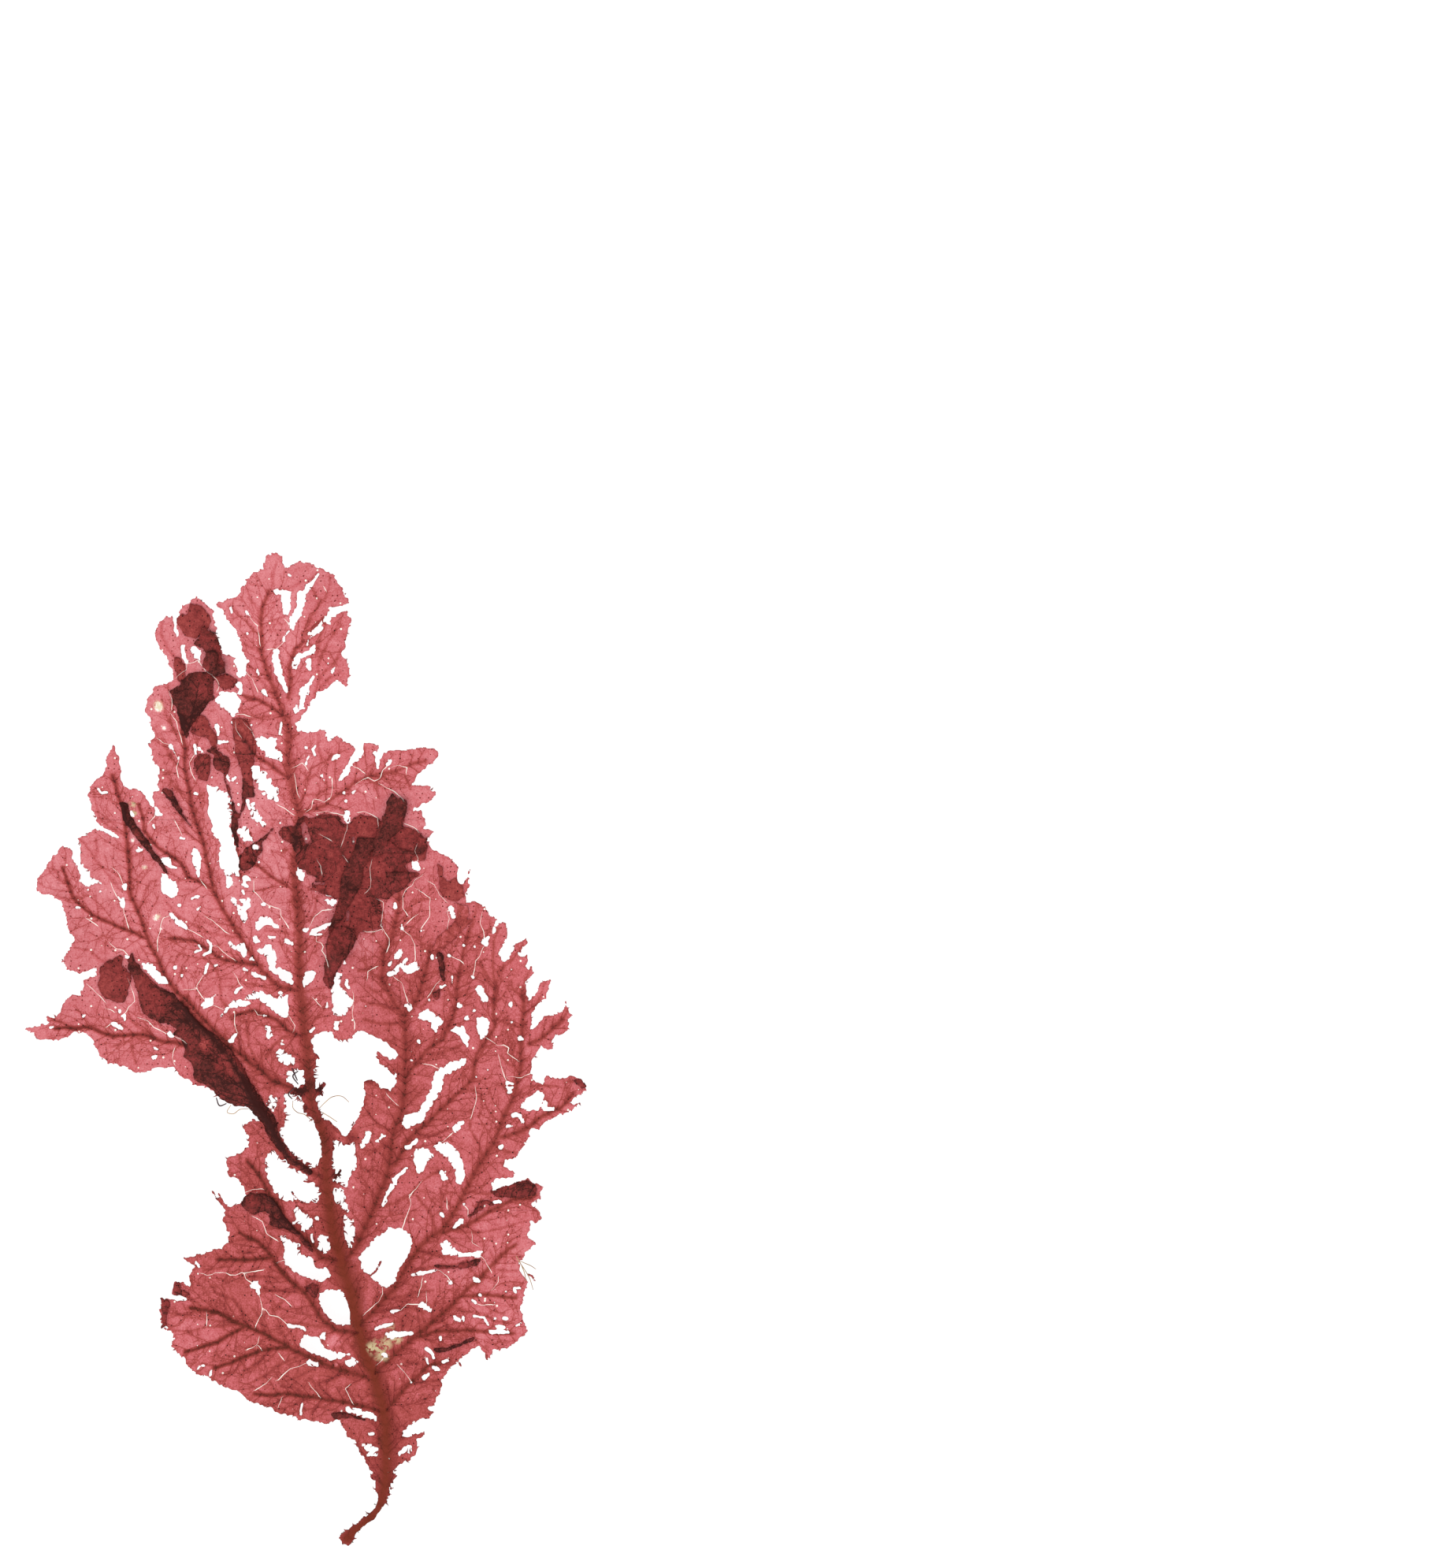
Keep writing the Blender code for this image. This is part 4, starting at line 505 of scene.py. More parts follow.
# Patches where the membrane has bleached, or darkened where below zero: x, y, radius and how much.
BLEACHED = [
    (8, 13.9, 1.4, 0.14), (11.2, 19, 0.9, 0.16), (11.5, -40.6, 0.5, -0.1), (9.9, -39.1, 0.4, -0.1),
    (-20, 46.2, 0.6, 0.34), (-19.3, 43.4, 0.35, 0.3), (-21.9, 24.6, 0.35, 0.3), (-23.6, 28.2, 0.3, 0.25),
    (4.1, -42.7, 0.35, 0.35), (7.2, 35.6, 0.8, 0.1), (8.7, 34.2, 0.6, 0.14), (-20.3, 17.8, 0.4, 0.28),
    (-19.6, 16.3, 0.3, 0.28), (13, -36.8, 1.2, -0.08), (-14.6, -39, 2.2, 0.05), (-7.5, -43.6, 1.5, 0.05),
    (3.9, -39.4, 0.7, 0.2),
]

# Spots where dead membrane has turned the colour of straw: x, y, radius, and minus its share.
STRAW_SPOTS = [
    (9.2, -40.3, 0.8, -0.9), (10.9, -39.8, 0.7, -0.7), (12.2, -39.2, 0.6, -0.8), (10.3, -41.3, 0.7, -0.9),
    (11.4, -37.6, 0.5, -0.5), (-23.4, 31.8, 0.5, -0.8), (-23.5, 33, 0.4, -0.7), (-20, 46.3, 0.6, -0.7),
    (-21.9, 24.6, 0.3, -0.6), (-20, 17.8, 0.4, -0.6),
]

# Blades that lie on others or are folded back: the layer, the pigment, and the outline's path.
OVERLYING = {
    "folded_left_blade": (0, 0.81, -236, 129, -230, 118, -220, 105, -210, 94, -200, 86, -180, 76, -173, 67,
        -163, 57, -152, 45, -143, 34, -133, 25, -120, 16, -110, 7, -100, -3, -92, -13, -85, -26, -75, -45,
        -60, -68, -50, -82, -40, -96, -36, -113, -30, -126, -23, -136, -15, -146, -6, -154, 4, -160, 9, -167,
        4, -172, -5, -166, -15, -160, -26, -152, -34, -140, -42, -130, -50, -122, -56, -110, -59, -100, -66,
        -92, -81, -79, -98, -76, -112, -70, -120, -62, -129, -54, -140, -48, -153, -43, -152, -30, -155, -20,
        -166, -10, -165, 3, -168, 12, -179, 20, -175, 27, -185, 32, -200, 37, -215, 43, -223, 52, -227, 70,
        -230, 85, -240, 105, -242, 120),
    "left_lobe_layer": (0, 0.68, -280, 99, -278, 112, -273, 118, -263, 120, -253, 126, -249, 124, -248, 112,
        -238, 102, -238, 90, -240, 83, -242, 72, -250, 62, -260, 63, -270, 68, -278, 77, -281, 88),
    "centre_layer": (0, 0.7, -13, 310, -4, 316, 5, 312, 15, 316, 30, 318, 43, 316, 50, 306, 60, 304, 63, 311,
        73, 317, 86, 313, 96, 312, 100, 305, 110, 320, 132, 314, 132, 302, 140, 300, 152, 294, 163, 284, 164,
        270, 162, 252, 152, 255, 142, 252, 136, 248, 138, 240, 153, 238, 154, 235, 139, 224, 126, 212, 117,
        208, 112, 203, 97, 203, 101, 195, 104, 185, 101, 175, 102, 163, 88, 160, 72, 157, 69, 152, 63, 135,
        54, 125, 48, 112, 41, 102, 35, 82, 31, 83, 22, 95, 26, 108, 30, 130, 29, 150, 32, 165, 37, 180, 44,
        199, 43, 203, 30, 207, 15, 212, 6, 216, 9, 223, 20, 232, 13, 234, 2, 237, 1, 242, -9, 244, -13, 254,
        -13, 265, -20, 277, -32, 284, -38, 293, -33, 300, -17, 301),
    "centre_band": (1, 0.86, 115, 348, 123, 340, 136, 337, 137, 325, 131, 310, 130, 300, 123, 293, 115, 287,
        110, 280, 98, 274, 88, 266, 86, 253, 78, 245, 76, 228, 71, 215, 65, 206, 56, 190, 52, 180, 43, 170,
        35, 160, 30, 151, 30, 156, 34, 170, 39, 185, 45, 200, 47, 212, 47, 230, 52, 245, 59, 260, 65, 270,
        70, 285, 85, 285, 92, 283, 97, 297, 103, 315, 108, 330),
    "centre_arm": (1, 0.8, 92, 280, 115, 283, 123, 272, 145, 268, 150, 288, 163, 285, 160, 268, 150, 262,
        130, 264, 105, 264, 90, 260),
    "centre_streak": (1, 0.78, 105, 240, 120, 239, 145, 239, 152, 236, 145, 232, 125, 228, 110, 233),
    "centre_foot": (1, 0.8, 31, 150, 38, 164, 55, 166, 70, 159, 69, 153, 62, 135, 50, 118, 40, 103, 35, 92,
        34, 82, 31, 98, 24, 112, 29, 125, 28, 140),
    "right_layer": (0, 0.61, 177, 250, 185, 246, 185, 233, 190, 227, 202, 232, 205, 225, 213, 217, 215, 206,
        205, 200, 196, 200, 187, 206, 180, 215, 179, 228, 178, 240),
    "right_layer_foot": (0, 0.46, 200, 197, 219, 195, 220, 180, 216, 176, 226, 174, 218, 168, 212, 160, 204,
        153, 198, 145, 190, 139, 184, 133, 172, 131, 170, 137, 174, 145, 180, 153, 188, 161, 195, 166, 202,
        175, 203, 188),
    "upper_left_layer": (0, 0.86, -186, 484, -172, 492, -169, 500, -160, 507, -146, 509, -134, 512, -128,
        509, -125, 500, -127, 486, -124, 474, -132, 467, -138, 460, -145, 450, -153, 440, -159, 429, -162,
        422, -166, 427, -170, 442, -178, 464, -182, 475),
    "upper_left_band": (1, 0.76, -131, 565, -124, 562, -120, 553, -116, 542, -114, 530, -110, 521, -108, 512,
        -115, 507, -124, 503, -130, 508, -139, 516, -140, 525, -136, 534, -139, 542, -150, 548, -149, 553,
        -144, 560, -140, 570),
    "upper_left_core": (2, 0.88, -134, 538, -126, 539, -119, 533, -119, 520, -110, 517, -109, 510, -116, 508,
        -125, 505, -130, 510, -129, 518, -135, 526),
    "upper_left_flap": (0, 0.62, -158, 602, -150, 602, -142, 600, -135, 592, -130, 585, -129, 579, -132, 570,
        -142, 563, -150, 553, -160, 558, -167, 563, -173, 573, -176, 581, -172, 586, -168, 588, -166, 584,
        -160, 589),
    "upper_left_spur": (0, 0.62, -125, 503, -110, 509, -100, 503, -93, 501, -94, 495, -100, 490, -110, 486,
        -118, 490),
    "upper_left_bend": (0, 0.62, -179, 530, -172, 530, -168, 526, -164, 520, -163, 512, -165, 500, -174, 498,
        -178, 513, -180, 522),
    "upper_left_fold": (0, 0.64, -147, 451, -136, 450, -130, 440, -124, 430, -120, 416, -122, 410, -130, 410,
        -133, 418, -140, 423, -152, 424, -156, 430, -154, 440),
    "upper_left_round": (0, 0.7, -152, 392, -145, 398, -136, 400, -130, 398, -129, 385, -131, 372, -135, 363,
        -146, 365, -151, 374, -153, 383),
    "upper_left_knot": (0, 0.8, -134, 403, -123, 412, -119, 403, -113, 399, -104, 392, -103, 383, -107, 375,
        -109, 364, -103, 351, -100, 336, -95, 320, -90, 318, -86, 330, -87, 345, -85, 366, -82, 366, -72,
        356, -71, 341, -82, 339, -84, 326, -91, 312, -92, 302, -95, 292, -92, 276, -86, 264, -90, 245, -91,
        262, -96, 280, -100, 295, -103, 305, -102, 312, -99, 320, -102, 336, -106, 350, -112, 364, -112, 372,
        -122, 378, -127, 386, -126, 397),
    "crown_foot_layer": (0, 0.58, -99, 446, -92, 449, -84, 447, -81, 442, -76, 435, -72, 426, -69, 416, -69,
        400, -71, 388, -74, 380, -73, 366, -72, 354, -82, 352, -87, 373, -90, 385, -95, 400, -98, 410, -99,
        425),
    "centre_left_knot": (0, 0.73, -90, 246, -89, 260, -84, 270, -76, 276, -69, 280, -63, 283, -54, 292, -46,
        300, -44, 296, -50, 289, -57, 281, -61, 277, -60.5, 270, -63, 263, -66, 254, -73, 246, -80, 241, -86,
        241),
    "narrow_branch_layer": (0, 0.84, -82, -199, -76, -194, -66, -195, -54, -199, -46, -203, -40, -209, -34,
        -220, -28, -230, -16, -240, -4, -252, 6, -266, 12, -276, 2, -269, -9, -256, -24, -246, -36, -242,
        -44, -243, -50, -238, -50, -229, -48, -223, -56, -220, -62, -222, -70, -225, -80, -220, -86, -215,
        -87, -209),
    "right_strip": (0, 0.87, 176, 129, 184, 130, 186, 110, 188, 92, 185, 90, 182, 100, 178, 118),
    "right_patch": (0, 0.74, 171, 76, 180, 80, 181, 72, 176, 66, 172, 70),
    "right_tip": (0, 0.74, 362, -43, 370, -39, 376, -46, 379, -51, 373, -55, 366, -49),
    "left_strip": (0, 0.88, -253, 333, -242, 332, -238, 319, -233, 308, -225, 294, -214, 279, -204, 265,
        -194, 253, -187, 240, -185, 233, -195, 242, -202, 251, -213, 264, -225, 279, -238, 294, -248, 309,
        -250, 322),
    "upper_left_strip": (0, 0.8, -197, 350, -190, 354, -183, 350, -177, 340, -172, 329, -165, 318, -159, 307,
        -154, 298, -164, 308, -175, 322, -186, 336),
    "right_lobe_tip": (0, 0.76, 250, -193, 265, -187, 280, -182, 300, -177, 308, -183, 312, -190, 310, -198,
        290, -201, 258, -200),
    "right_lobe_patch": (0, 0.68, 232, -206, 245, -205, 253, -210, 240, -209, 238, -218, 228, -226, 220,
        -227, 230, -215),
    "lower_right_patch": (0, 0.72, 175, -293, 205, -293, 208, -289, 232, -285, 237, -282, 233, -293, 225,
        -296, 200, -298, 180, -298),
    "lower_right_fold": (0, 0.88, 173, -407, 190, -405, 210, -398, 220, -392, 233, -386, 227, -395, 212,
        -400, 195, -408, 178, -410),
    "lower_left_tip": (0, 0.66, -197, -337, -187, -340, -185, -348, -188, -355, -190, -368, -189, -373, -196,
        -377),
    "lower_left_notch": (0, 0.68, -179, -317, -173, -316, -170, -325, -160, -330, -150, -329, -150, -333,
        -180, -334),
    "lower_gap_patch": (0, 0.72, 0, -320, 8, -316, 18, -318, 18, -330, 15, -339, 8, -332, 2, -326),
    "lower_edge_fold": (0, 0.84, 34, -493, 50, -492, 70, -497, 80, -503, 60, -500, 40, -500),
}

# Where an overlying blade holds less pigment, or more where below zero: x, y, radius and how much.
LAYER_SPOTS = [
    (-20.5, 6, 1.8, 0.12), (-22, 9.4, 1.3, 0.06), (-12.8, 0.4, 1.5, 0.11), (-10.6, -1.8, 1.4, 0.11),
    (-16, 4.6, 0.7, -0.1), (-13.8, -3, 1.2, -0.05), (-11.3, -5.2, 1.2, -0.05), (-13.9, 0.6, 0.6, 0.3),
    (-18, 7, 1.4, -0.08), (-5.6, -8.8, 1.6, -0.07), (-23, 10.5, 1, -0.06), (-8, -5.4, 1.6, -0.06),
    (-14.3, 49.4, 1.6, 0.09), (-16.2, 46, 1.8, -0.04), (2, 28, 2.4, -0.02), (10.5, 23.8, 0.8, 0.1),
    (8.6, 18.4, 1.3, 0.03), (12, 31, 1, 0.05), (-9.4, 41.2, 1.3, 0.03), (12.4, 25.2, 1.2, -0.06),
    (-7, -21, 1, 0.04), (-8.4, -3.8, 1.1, 0.08), (-1.6, -14.8, 2, 0.1), (-0.6, -25.4, 1.6, 0.16),
    (6.6, 23, 0.9, 0.05), (9.5, 30.6, 1, 0.02),
]

# Gaps in the overlying blades through which the sheet below shows: the half width, and the path.
WINDOWS = [
    (0.42, -4, 303, -1, 292, 3, 281), (0.22, 64, 285, 64, 279), (0.22, 57, 185, 56, 175),
    (0.45, 139, 248, 144, 244), (0.2, -128, 392, -128, 374), (0.35, -244, 116), (0.2, 12, 224, 24, 224),
    (0.42, -69, 274, -66, 273), (0.16, -71, 265), (0.14, -79, 253),
]

# Narrow strands of tissue that bridge the gaps or stand out by the midribs: the half width, and the path.
STRANDS = [
    (0.2, -97, 300, -96, 290, -94, 276, -90, 260, -89, 244, -88, 226), (0.16, -69, 281, -64, 288, -60, 296),
    (0.24, 10, -59, 16, -57, 20, -53, 23, -47), (0.12, 19, -56, 22, -62),
    (0.34, 33, -172, 40, -171, 45, -170), (0.14, 44, -170, 47, -164), (0.13, 43, -170, 46, -176),
    (0.14, 35, -181, 42, -184, 52, -189), (0.11, 44, -182, 50, -182), (0.3, 26, -99, 34, -107, 44, -114),
    (0.18, 44, -114, 48, -122, 58, -122, 68, -122), (0.13, 48, -122, 48, -129),
    (0.16, 65, -123, 68, -135, 69, -149), (0.2, 32, -118, 36, -135),
    (0.13, 22, -210, 8, -212, -4, -208, -14, -200, -19, -192),
    (0.26, -15, -206, -8, -214, 2, -222, 10, -224, 22, -218), (0.13, -3, -180, 3, -180, 9, -178),
    (0.12, 0, -155, 6, -156), (0.14, 10, -164, 14, -159, 19, -155), (0.2, 12, -239, 24, -244, 30, -249),
    (0.13, 1, -249, 10, -247, 17, -244), (0.15, 11, -248, 12, -258, 16, -268),
    (0.12, 38, -208, 45, -215, 54, -222, 58, -226), (0.11, 42, -218, 47, -229, 44, -236),
    (0.15, 44, -239, 49, -248, 52, -258, 56, -266), (0.12, 50, -223, 48, -232), (0.12, 62, -260, 64, -266),
    (0.24, -10, -269, -3, -274, 1, -280), (0.16, -43, -16, -32, -23, -20, -27, -16, -33),
    (0.13, -30, -34, -26, -26, -19, -24), (0.13, -12, -23, -12, -15, -2, -12),
    (0.15, 9, -6, 15, -10, 19, -15), (0.14, 9, -28, 13, -22), (0.24, 3, -74, -3, -78, -1, -84),
    (0.16, -20, -61, -12, -58), (0.12, -105, 330, -100, 326), (0.12, -106, 324, -100, 327),
    (0.1, -105, 311, -100, 310), (0.14, -76, 292, -72, 284), (0.13, 87, -306, 94, -299, 101, -287),
    (0.14, 94, -10, 99, -13, 109, -22, 120, -35), (0.12, -126, -194, -120, -203, -114, -211),
    (0.13, 299, -305, 304, -307, 308, -313), (0.12, 242, -400, 244, -412, 245, -420),
    (0.12, 203, -420, 208, -428), (0.36, 8, 572, 15, 577, 22, 583), (0.13, 23, 577, 27, 573, 31, 571),
]

# Dark growth on the bare midrib and at blade tips: x, y, radius, and minus the pigment that it adds.
GROWTH = [
    (0.3, -3, 1.2, -0.1), (0.6, -5.4, 1.3, -0.16), (1.9, -5.4, 0.7, -0.3), (-1.1, -6.1, 0.9, -0.34),
    (-0.3, -8, 0.5, -0.2), (1.4, -9, 1.3, -0.12), (2.4, -12.5, 1.3, -0.1), (4.3, -17, 0.8, -0.32),
    (6.1, -12.2, 0.8, -0.26), (8.6, -4.2, 0.5, -0.3), (-9.6, 28.5, 1.2, -0.12), (-9, 24, 0.8, -0.12),
    (-7.2, -7.8, 1, -0.1), (-6, 29, 1, -0.1),
]

# Where the margin bears spurs: the middle and the half size of a box, the spurs a millimetre, and their
# length. Where boxes overlap, the first one counts. The margin is also shaggy in the first SHAGGY_PLACES.
SPUR_PLACES = [
    (0, -14, 6.5, 13.5, 0.9, 0.55), (-9, -8.5, 4, 2.5, 0.8, 0.7), (-7.5, 35, 4.5, 6, 0.8, 0.5),
    (-8.5, 24, 2.5, 5.5, 0.6, 0.5), (9.5, -55, 5, 8, 0.6, 0.6), (-2, 8, 10, 8, 0.3, 0.4),
    (12, -30, 8, 4, 0.2, 0.4), (0, 0, 40, 68, 0.1, 0.35),
]
SHAGGY_PLACES = 5

# Threads that cling to the plant: the path.
TAN_THREADS = [
    (17, -81, 26, -72, 35, -65, 48, -64, 58, -72), (18, -84, 30, -91, 42, -99),
    (-18, -70, -18, -80, -12, -86, -2, -89, 8, -98), (-102, -76, -107, -86, -99, -88, -90, -82, -78, -81),
    (284, -280, 289, -289, 295, -298, 302, -310, 307, -326), (289, -287, 296, -290, 303, -293, 311, -298),
    (288, -286, 293, -297, 296, -306, 297, -314),
]
DARK_THREADS = [
    (-142, 545, -140, 555, -129, 559, -133, 564, -120, 562), (-19, -26, -16, -34, -12, -43),
    (-11, -30, -18, -36, -11, -48), (-16, -53, -24, -62, -19, -68), (-122, -66, -117, -77, -108, -74),
]

COLOUR = {"subtype": "COLOR", "min": 0.0, "max": 1.0}


class FrondShape(bpy.types.PropertyGroup):
    """The sizes of the sheet's fine surface."""
    step: FloatProperty(name="Mesh step", description="Distance between the points of the mesh",
                        default=0.17 * MM, min=0.1 * MM, unit="LENGTH")
    membrane: FloatProperty(name="Membrane", description="Thickness of the blades between their ribs",
                            default=0.16 * MM, min=0.02 * MM, unit="LENGTH")
    tooth_depth: FloatProperty(name="Tooth depth", description="How far the margin's teeth stand out",
                               default=0.2 * MM, min=0.0, unit="LENGTH")
    tooth_length: FloatProperty(name="Tooth length", description="Distance from tooth to tooth",
                                default=0.62 * MM, min=0.1 * MM, unit="LENGTH")
    ruffle: FloatProperty(name="Ruffle", description="How far the margins stand up in small waves",
                          default=0.45 * MM, min=0.0, unit="LENGTH")
    vein_spacing: FloatProperty(name="Vein spacing", description="Distance from side vein to side vein",
                                default=1.5 * MM, min=0.5 * MM, unit="LENGTH")
    layer_gap: FloatProperty(name="Layer gap", description="Air between blades that lie on each other",
                             default=0.22 * MM, min=0.0, unit="LENGTH")


class FrondColours(bpy.types.PropertyGroup):
    """The colours of the sheet, from bare membrane to the darkest folds."""
    bare: FloatVectorProperty(name="Bare", description="Cracks and pinholes", default=(0.97, 0.88, 0.80),
                              **COLOUR)
    light: FloatVectorProperty(name="Light", description="The palest membrane", default=(0.73, 0.262, 0.284),
                               **COLOUR)
    rose: FloatVectorProperty(name="Rose", description="Common single membrane", default=(0.55, 0.118, 0.130),
                              **COLOUR)
    red: FloatVectorProperty(name="Red", description="Veins and dense membrane",
                             default=(0.375, 0.064, 0.057), **COLOUR)
    wine: FloatVectorProperty(name="Wine", description="Two layers", default=(0.225, 0.029, 0.028), **COLOUR)
    dark: FloatVectorProperty(name="Dark", description="Three layers and more", default=(0.10, 0.017, 0.014),
                              **COLOUR)
    cortex: FloatVectorProperty(name="Cortex", description="The old midrib near its foot",
                                default=(0.188, 0.028, 0.0125), **COLOUR)
    straw: FloatVectorProperty(name="Straw", description="Dead, bleached membrane",
                               default=(0.66, 0.56, 0.32), **COLOUR)


class StageLook(bpy.types.PropertyGroup):
    """The camera, the lights and the floor."""
    lens: FloatProperty(name="Lens", description="Focal length in millimetres", default=200.0, min=20.0)
    sky: FloatProperty(name="Sky", description="Strength of the even light", default=0.86, min=0.0)
    lamp: FloatProperty(name="Lamp", description="Strength of the soft sun", default=1.1, min=0.0)
    floor: FloatVectorProperty(name="Floor", description="Colour of the floor", default=(0.16, 0.16, 0.16),
                               **COLOUR)
    glow: FloatProperty(name="Glow", description="Light of the floor itself, which keeps its shade pale",
                        default=0.93, min=0.0)


def grid_over_plant(step):
    """A square grid over the solid's box and some room: its columns' x, its rows' y, and both spread out."""
    low, high = (np.array(corner[:2]) / MM for corner in CAD_BOX)
    x = np.arange(low[0] - GRID_ROOM, high[0] + GRID_ROOM, step)
    y = np.arange(low[1] - GRID_ROOM, high[1] + GRID_ROOM, step)
    spread_x, spread_y = np.meshgrid(x, y)
    return SimpleNamespace(x=x, y=y, X=spread_x, Y=spread_y, step=step)


def points_of(path):
    """A path's points in millimetres."""
    return np.reshape(path, (-1, 2)) / 10.0


def travelled(points):
    """How far along its path each point lies."""
    return np.concatenate([[0.0], np.cumsum(np.hypot(*np.diff(points, axis=0).T))])


def window(grid, outline):
    """The part of a grid that an outline fills, and the rows and columns that it takes."""
    corners = points_of(outline)
    low, high = corners.min(axis=0) - GRID_ROOM, corners.max(axis=0) + GRID_ROOM
    columns = slice(*np.searchsorted(grid.x, (low[0], high[0])))
    rows = slice(*np.searchsorted(grid.y, (low[1], high[1])))
    part = SimpleNamespace(x=grid.x[columns], y=grid.y[rows], X=grid.X[rows, columns],
                           Y=grid.Y[rows, columns], step=grid.step)
    return part, (rows, columns)


def cell_of(grid, x, y):
    """The row and the column of the grid's point next to each place."""
    row = np.clip(np.searchsorted(grid.y, y), 0, len(grid.y) - 1)
    column = np.clip(np.searchsorted(grid.x, x), 0, len(grid.x) - 1)
    return row, column


def wander(grid, length, seed):
    """Smooth random numbers from -1 to 1 over the grid: a seeded lattice of the given length, and blends."""
    low = np.array(CAD_BOX[0][:2]) / MM - LATTICE_ROOM
    u, v = (grid.X - low[0]) / length, (grid.Y - low[1]) / length
    knots = [int(span / length) + 2 for span in LATTICE_SPAN]
    lattice = np.random.default_rng(seed).uniform(-1.0, 1.0, knots)
    i, j = np.floor(v).astype(int), np.floor(u).astype(int)
    s, t = v - i, u - j
    s, t = s * s * (3 - 2 * s), t * t * (3 - 2 * t)
    near = lattice[i, j] * (1 - t) + lattice[i, j + 1] * t
    far = lattice[i + 1, j] * (1 - t) + lattice[i + 1, j + 1] * t
    return near * (1 - s) + far * s


def uneven(grid, kind, turn=0):
    """One of the random patterns: the sum of its waves. The turn makes like pieces differ."""
    return sum(strength * wander(grid, length, seed + turn) for strength, length, seed in UNEVEN[kind])


def bent(grid):
    """The grid with its places shifted a little, smoothly and at random, so that lines read on it waver."""
    return SimpleNamespace(x=grid.x, y=grid.y, X=grid.X + uneven(grid, "line_x"),
                           Y=grid.Y + uneven(grid, "line_y"), step=grid.step)


def bell(away, width):
    """One where away is zero, and less by a bell curve of the given width."""
    return np.exp(-(away / width) ** 2)


def lines_of(rows):
    """Rows of x, y, x, y, width, width, owner for the straight lines of (root width, tip width, path).

    The width runs evenly from root to tip, and a path of one point is a line of no length.
    """
    lines = []
    for owner, (root, tip, *path) in enumerate(rows):
        points = points_of(path if len(path) > 2 else path * 2)
        distance = travelled(points)
        width = root + (tip - root) * distance / max(distance[-1], 1e-9)
        lines.append(np.column_stack([points[:-1], points[1:], width[:-1], width[1:],
                                      np.full(len(points) - 1, owner)]))
    return np.vstack(lines)


def tapered(half, path):
    """A tear with a half width for each end: wide at the end that leans left, narrow at the other."""
    ends = (1.15 * half, 0.7 * half)
    return (*(ends if path[0] < path[-2] else ends[::-1]), *path)


def nearest_line(grid, lines, reach, by_width=False):
    """For each place of the grid: the gap to its nearest line, its side, the line's width there, its owner.

    The grid is gone through in tiles, each with the lines that come within reach. Where by_width is set, the
    nearest line is the one whose gap is the smallest share of its width.
    """
    shape = grid.X.shape
    gap, side = np.full(shape, reach), np.ones(shape)
    width, owner = np.ones(shape), np.full(shape, -1.0)
    low = np.minimum(lines[:, :2], lines[:, 2:4]) - reach
    high = np.maximum(lines[:, :2], lines[:, 2:4]) + reach
    for row in range(0, shape[0], TILE):
        for column in range(0, shape[1], TILE):
            tile = (slice(row, row + TILE), slice(column, column + TILE))
            px, py = grid.X[tile], grid.Y[tile]
            close = ((low[:, 0] <= px.max()) & (high[:, 0] >= px.min())
                     & (low[:, 1] <= py.max()) & (high[:, 1] >= py.min()))
            if not close.any():
                continue
            x0, y0, x1, y1, w0, w1, who = lines[close].T
            dx, dy = px.ravel()[:, None] - x0, py.ravel()[:, None] - y0
            ax, ay = x1 - x0, y1 - y0
            share = np.clip((dx * ax + dy * ay) / np.maximum(ax * ax + ay * ay, 1e-12), 0.0, 1.0)
            away = np.hypot(dx - share * ax, dy - share * ay)
            wide = w0 + (w1 - w0) * share
            best = (away / wide if by_width else away).argmin(axis=1)
            found = np.arange(len(best)), best
            closer = away[found] < reach
            for field, value in ((gap, away[found]), (width, wide[found]), (owner, who[best]),
                                 (side, np.where((ax * dy - ay * dx)[found] < 0, -1.0, 1.0))):
                field[tile] = np.where(closer, value, field[tile].ravel()).reshape(px.shape)
    return SimpleNamespace(gap=gap, side=side, width=width, owner=owner)


def inside(grid, lines):
    """Whether each place lies inside closed outlines: a ray to it crosses them an odd number of times."""
    x0, y0, x1, y1 = lines[:, :4].T
    row_y = grid.y[:, None]
    spans = (y0 > row_y) != (y1 > row_y)
    row, line = np.nonzero(spans)
    crossing = x0[line] + (grid.y[row] - y0[line]) / (y1[line] - y0[line]) * (x1[line] - x0[line])
    toggles = np.zeros((len(grid.y), len(grid.x) + 1), dtype=int)
    np.add.at(toggles, (row, np.searchsorted(grid.x, crossing)), 1)
    return np.cumsum(toggles, axis=1)[:, :-1] % 2 == 1


def room_within(grid, lines):
    """How far each place of the grid lies inside closed outlines, or, below zero, outside them."""
    gap = nearest_line(grid, lines, MARGIN_REACH).gap
    return np.where(inside(grid, lines), gap, -gap)


def resting_height(x, y):
    """The underside's height in millimetres: two crossed waves whose crests alone leave the table."""
    u, v = x / WAVE_RADIUS, y / WAVE_RADIUS
    across = np.sin(u + 0.9 + 0.7 * np.sin(0.6 * v))
    lengthwise = np.sin(0.9 * v - 0.4 + 0.8 * np.sin(0.7 * u + 0.5))
    crest = np.clip((across + lengthwise) / 2.0 + WAVE_BIAS, 0.0, 1.0)
    return WAVE_HEIGHT * crest ** 2


def open_edges(faces, count):
    """The edges of triangles, as pairs out of so many point numbers, that no other triangle shares."""
    edges = np.vstack([faces[:, [0, 1]], faces[:, [1, 2]], faces[:, [2, 0]]])
    return edges[~np.isin(edges[:, 0] * count + edges[:, 1], edges[:, 1] * count + edges[:, 0])]


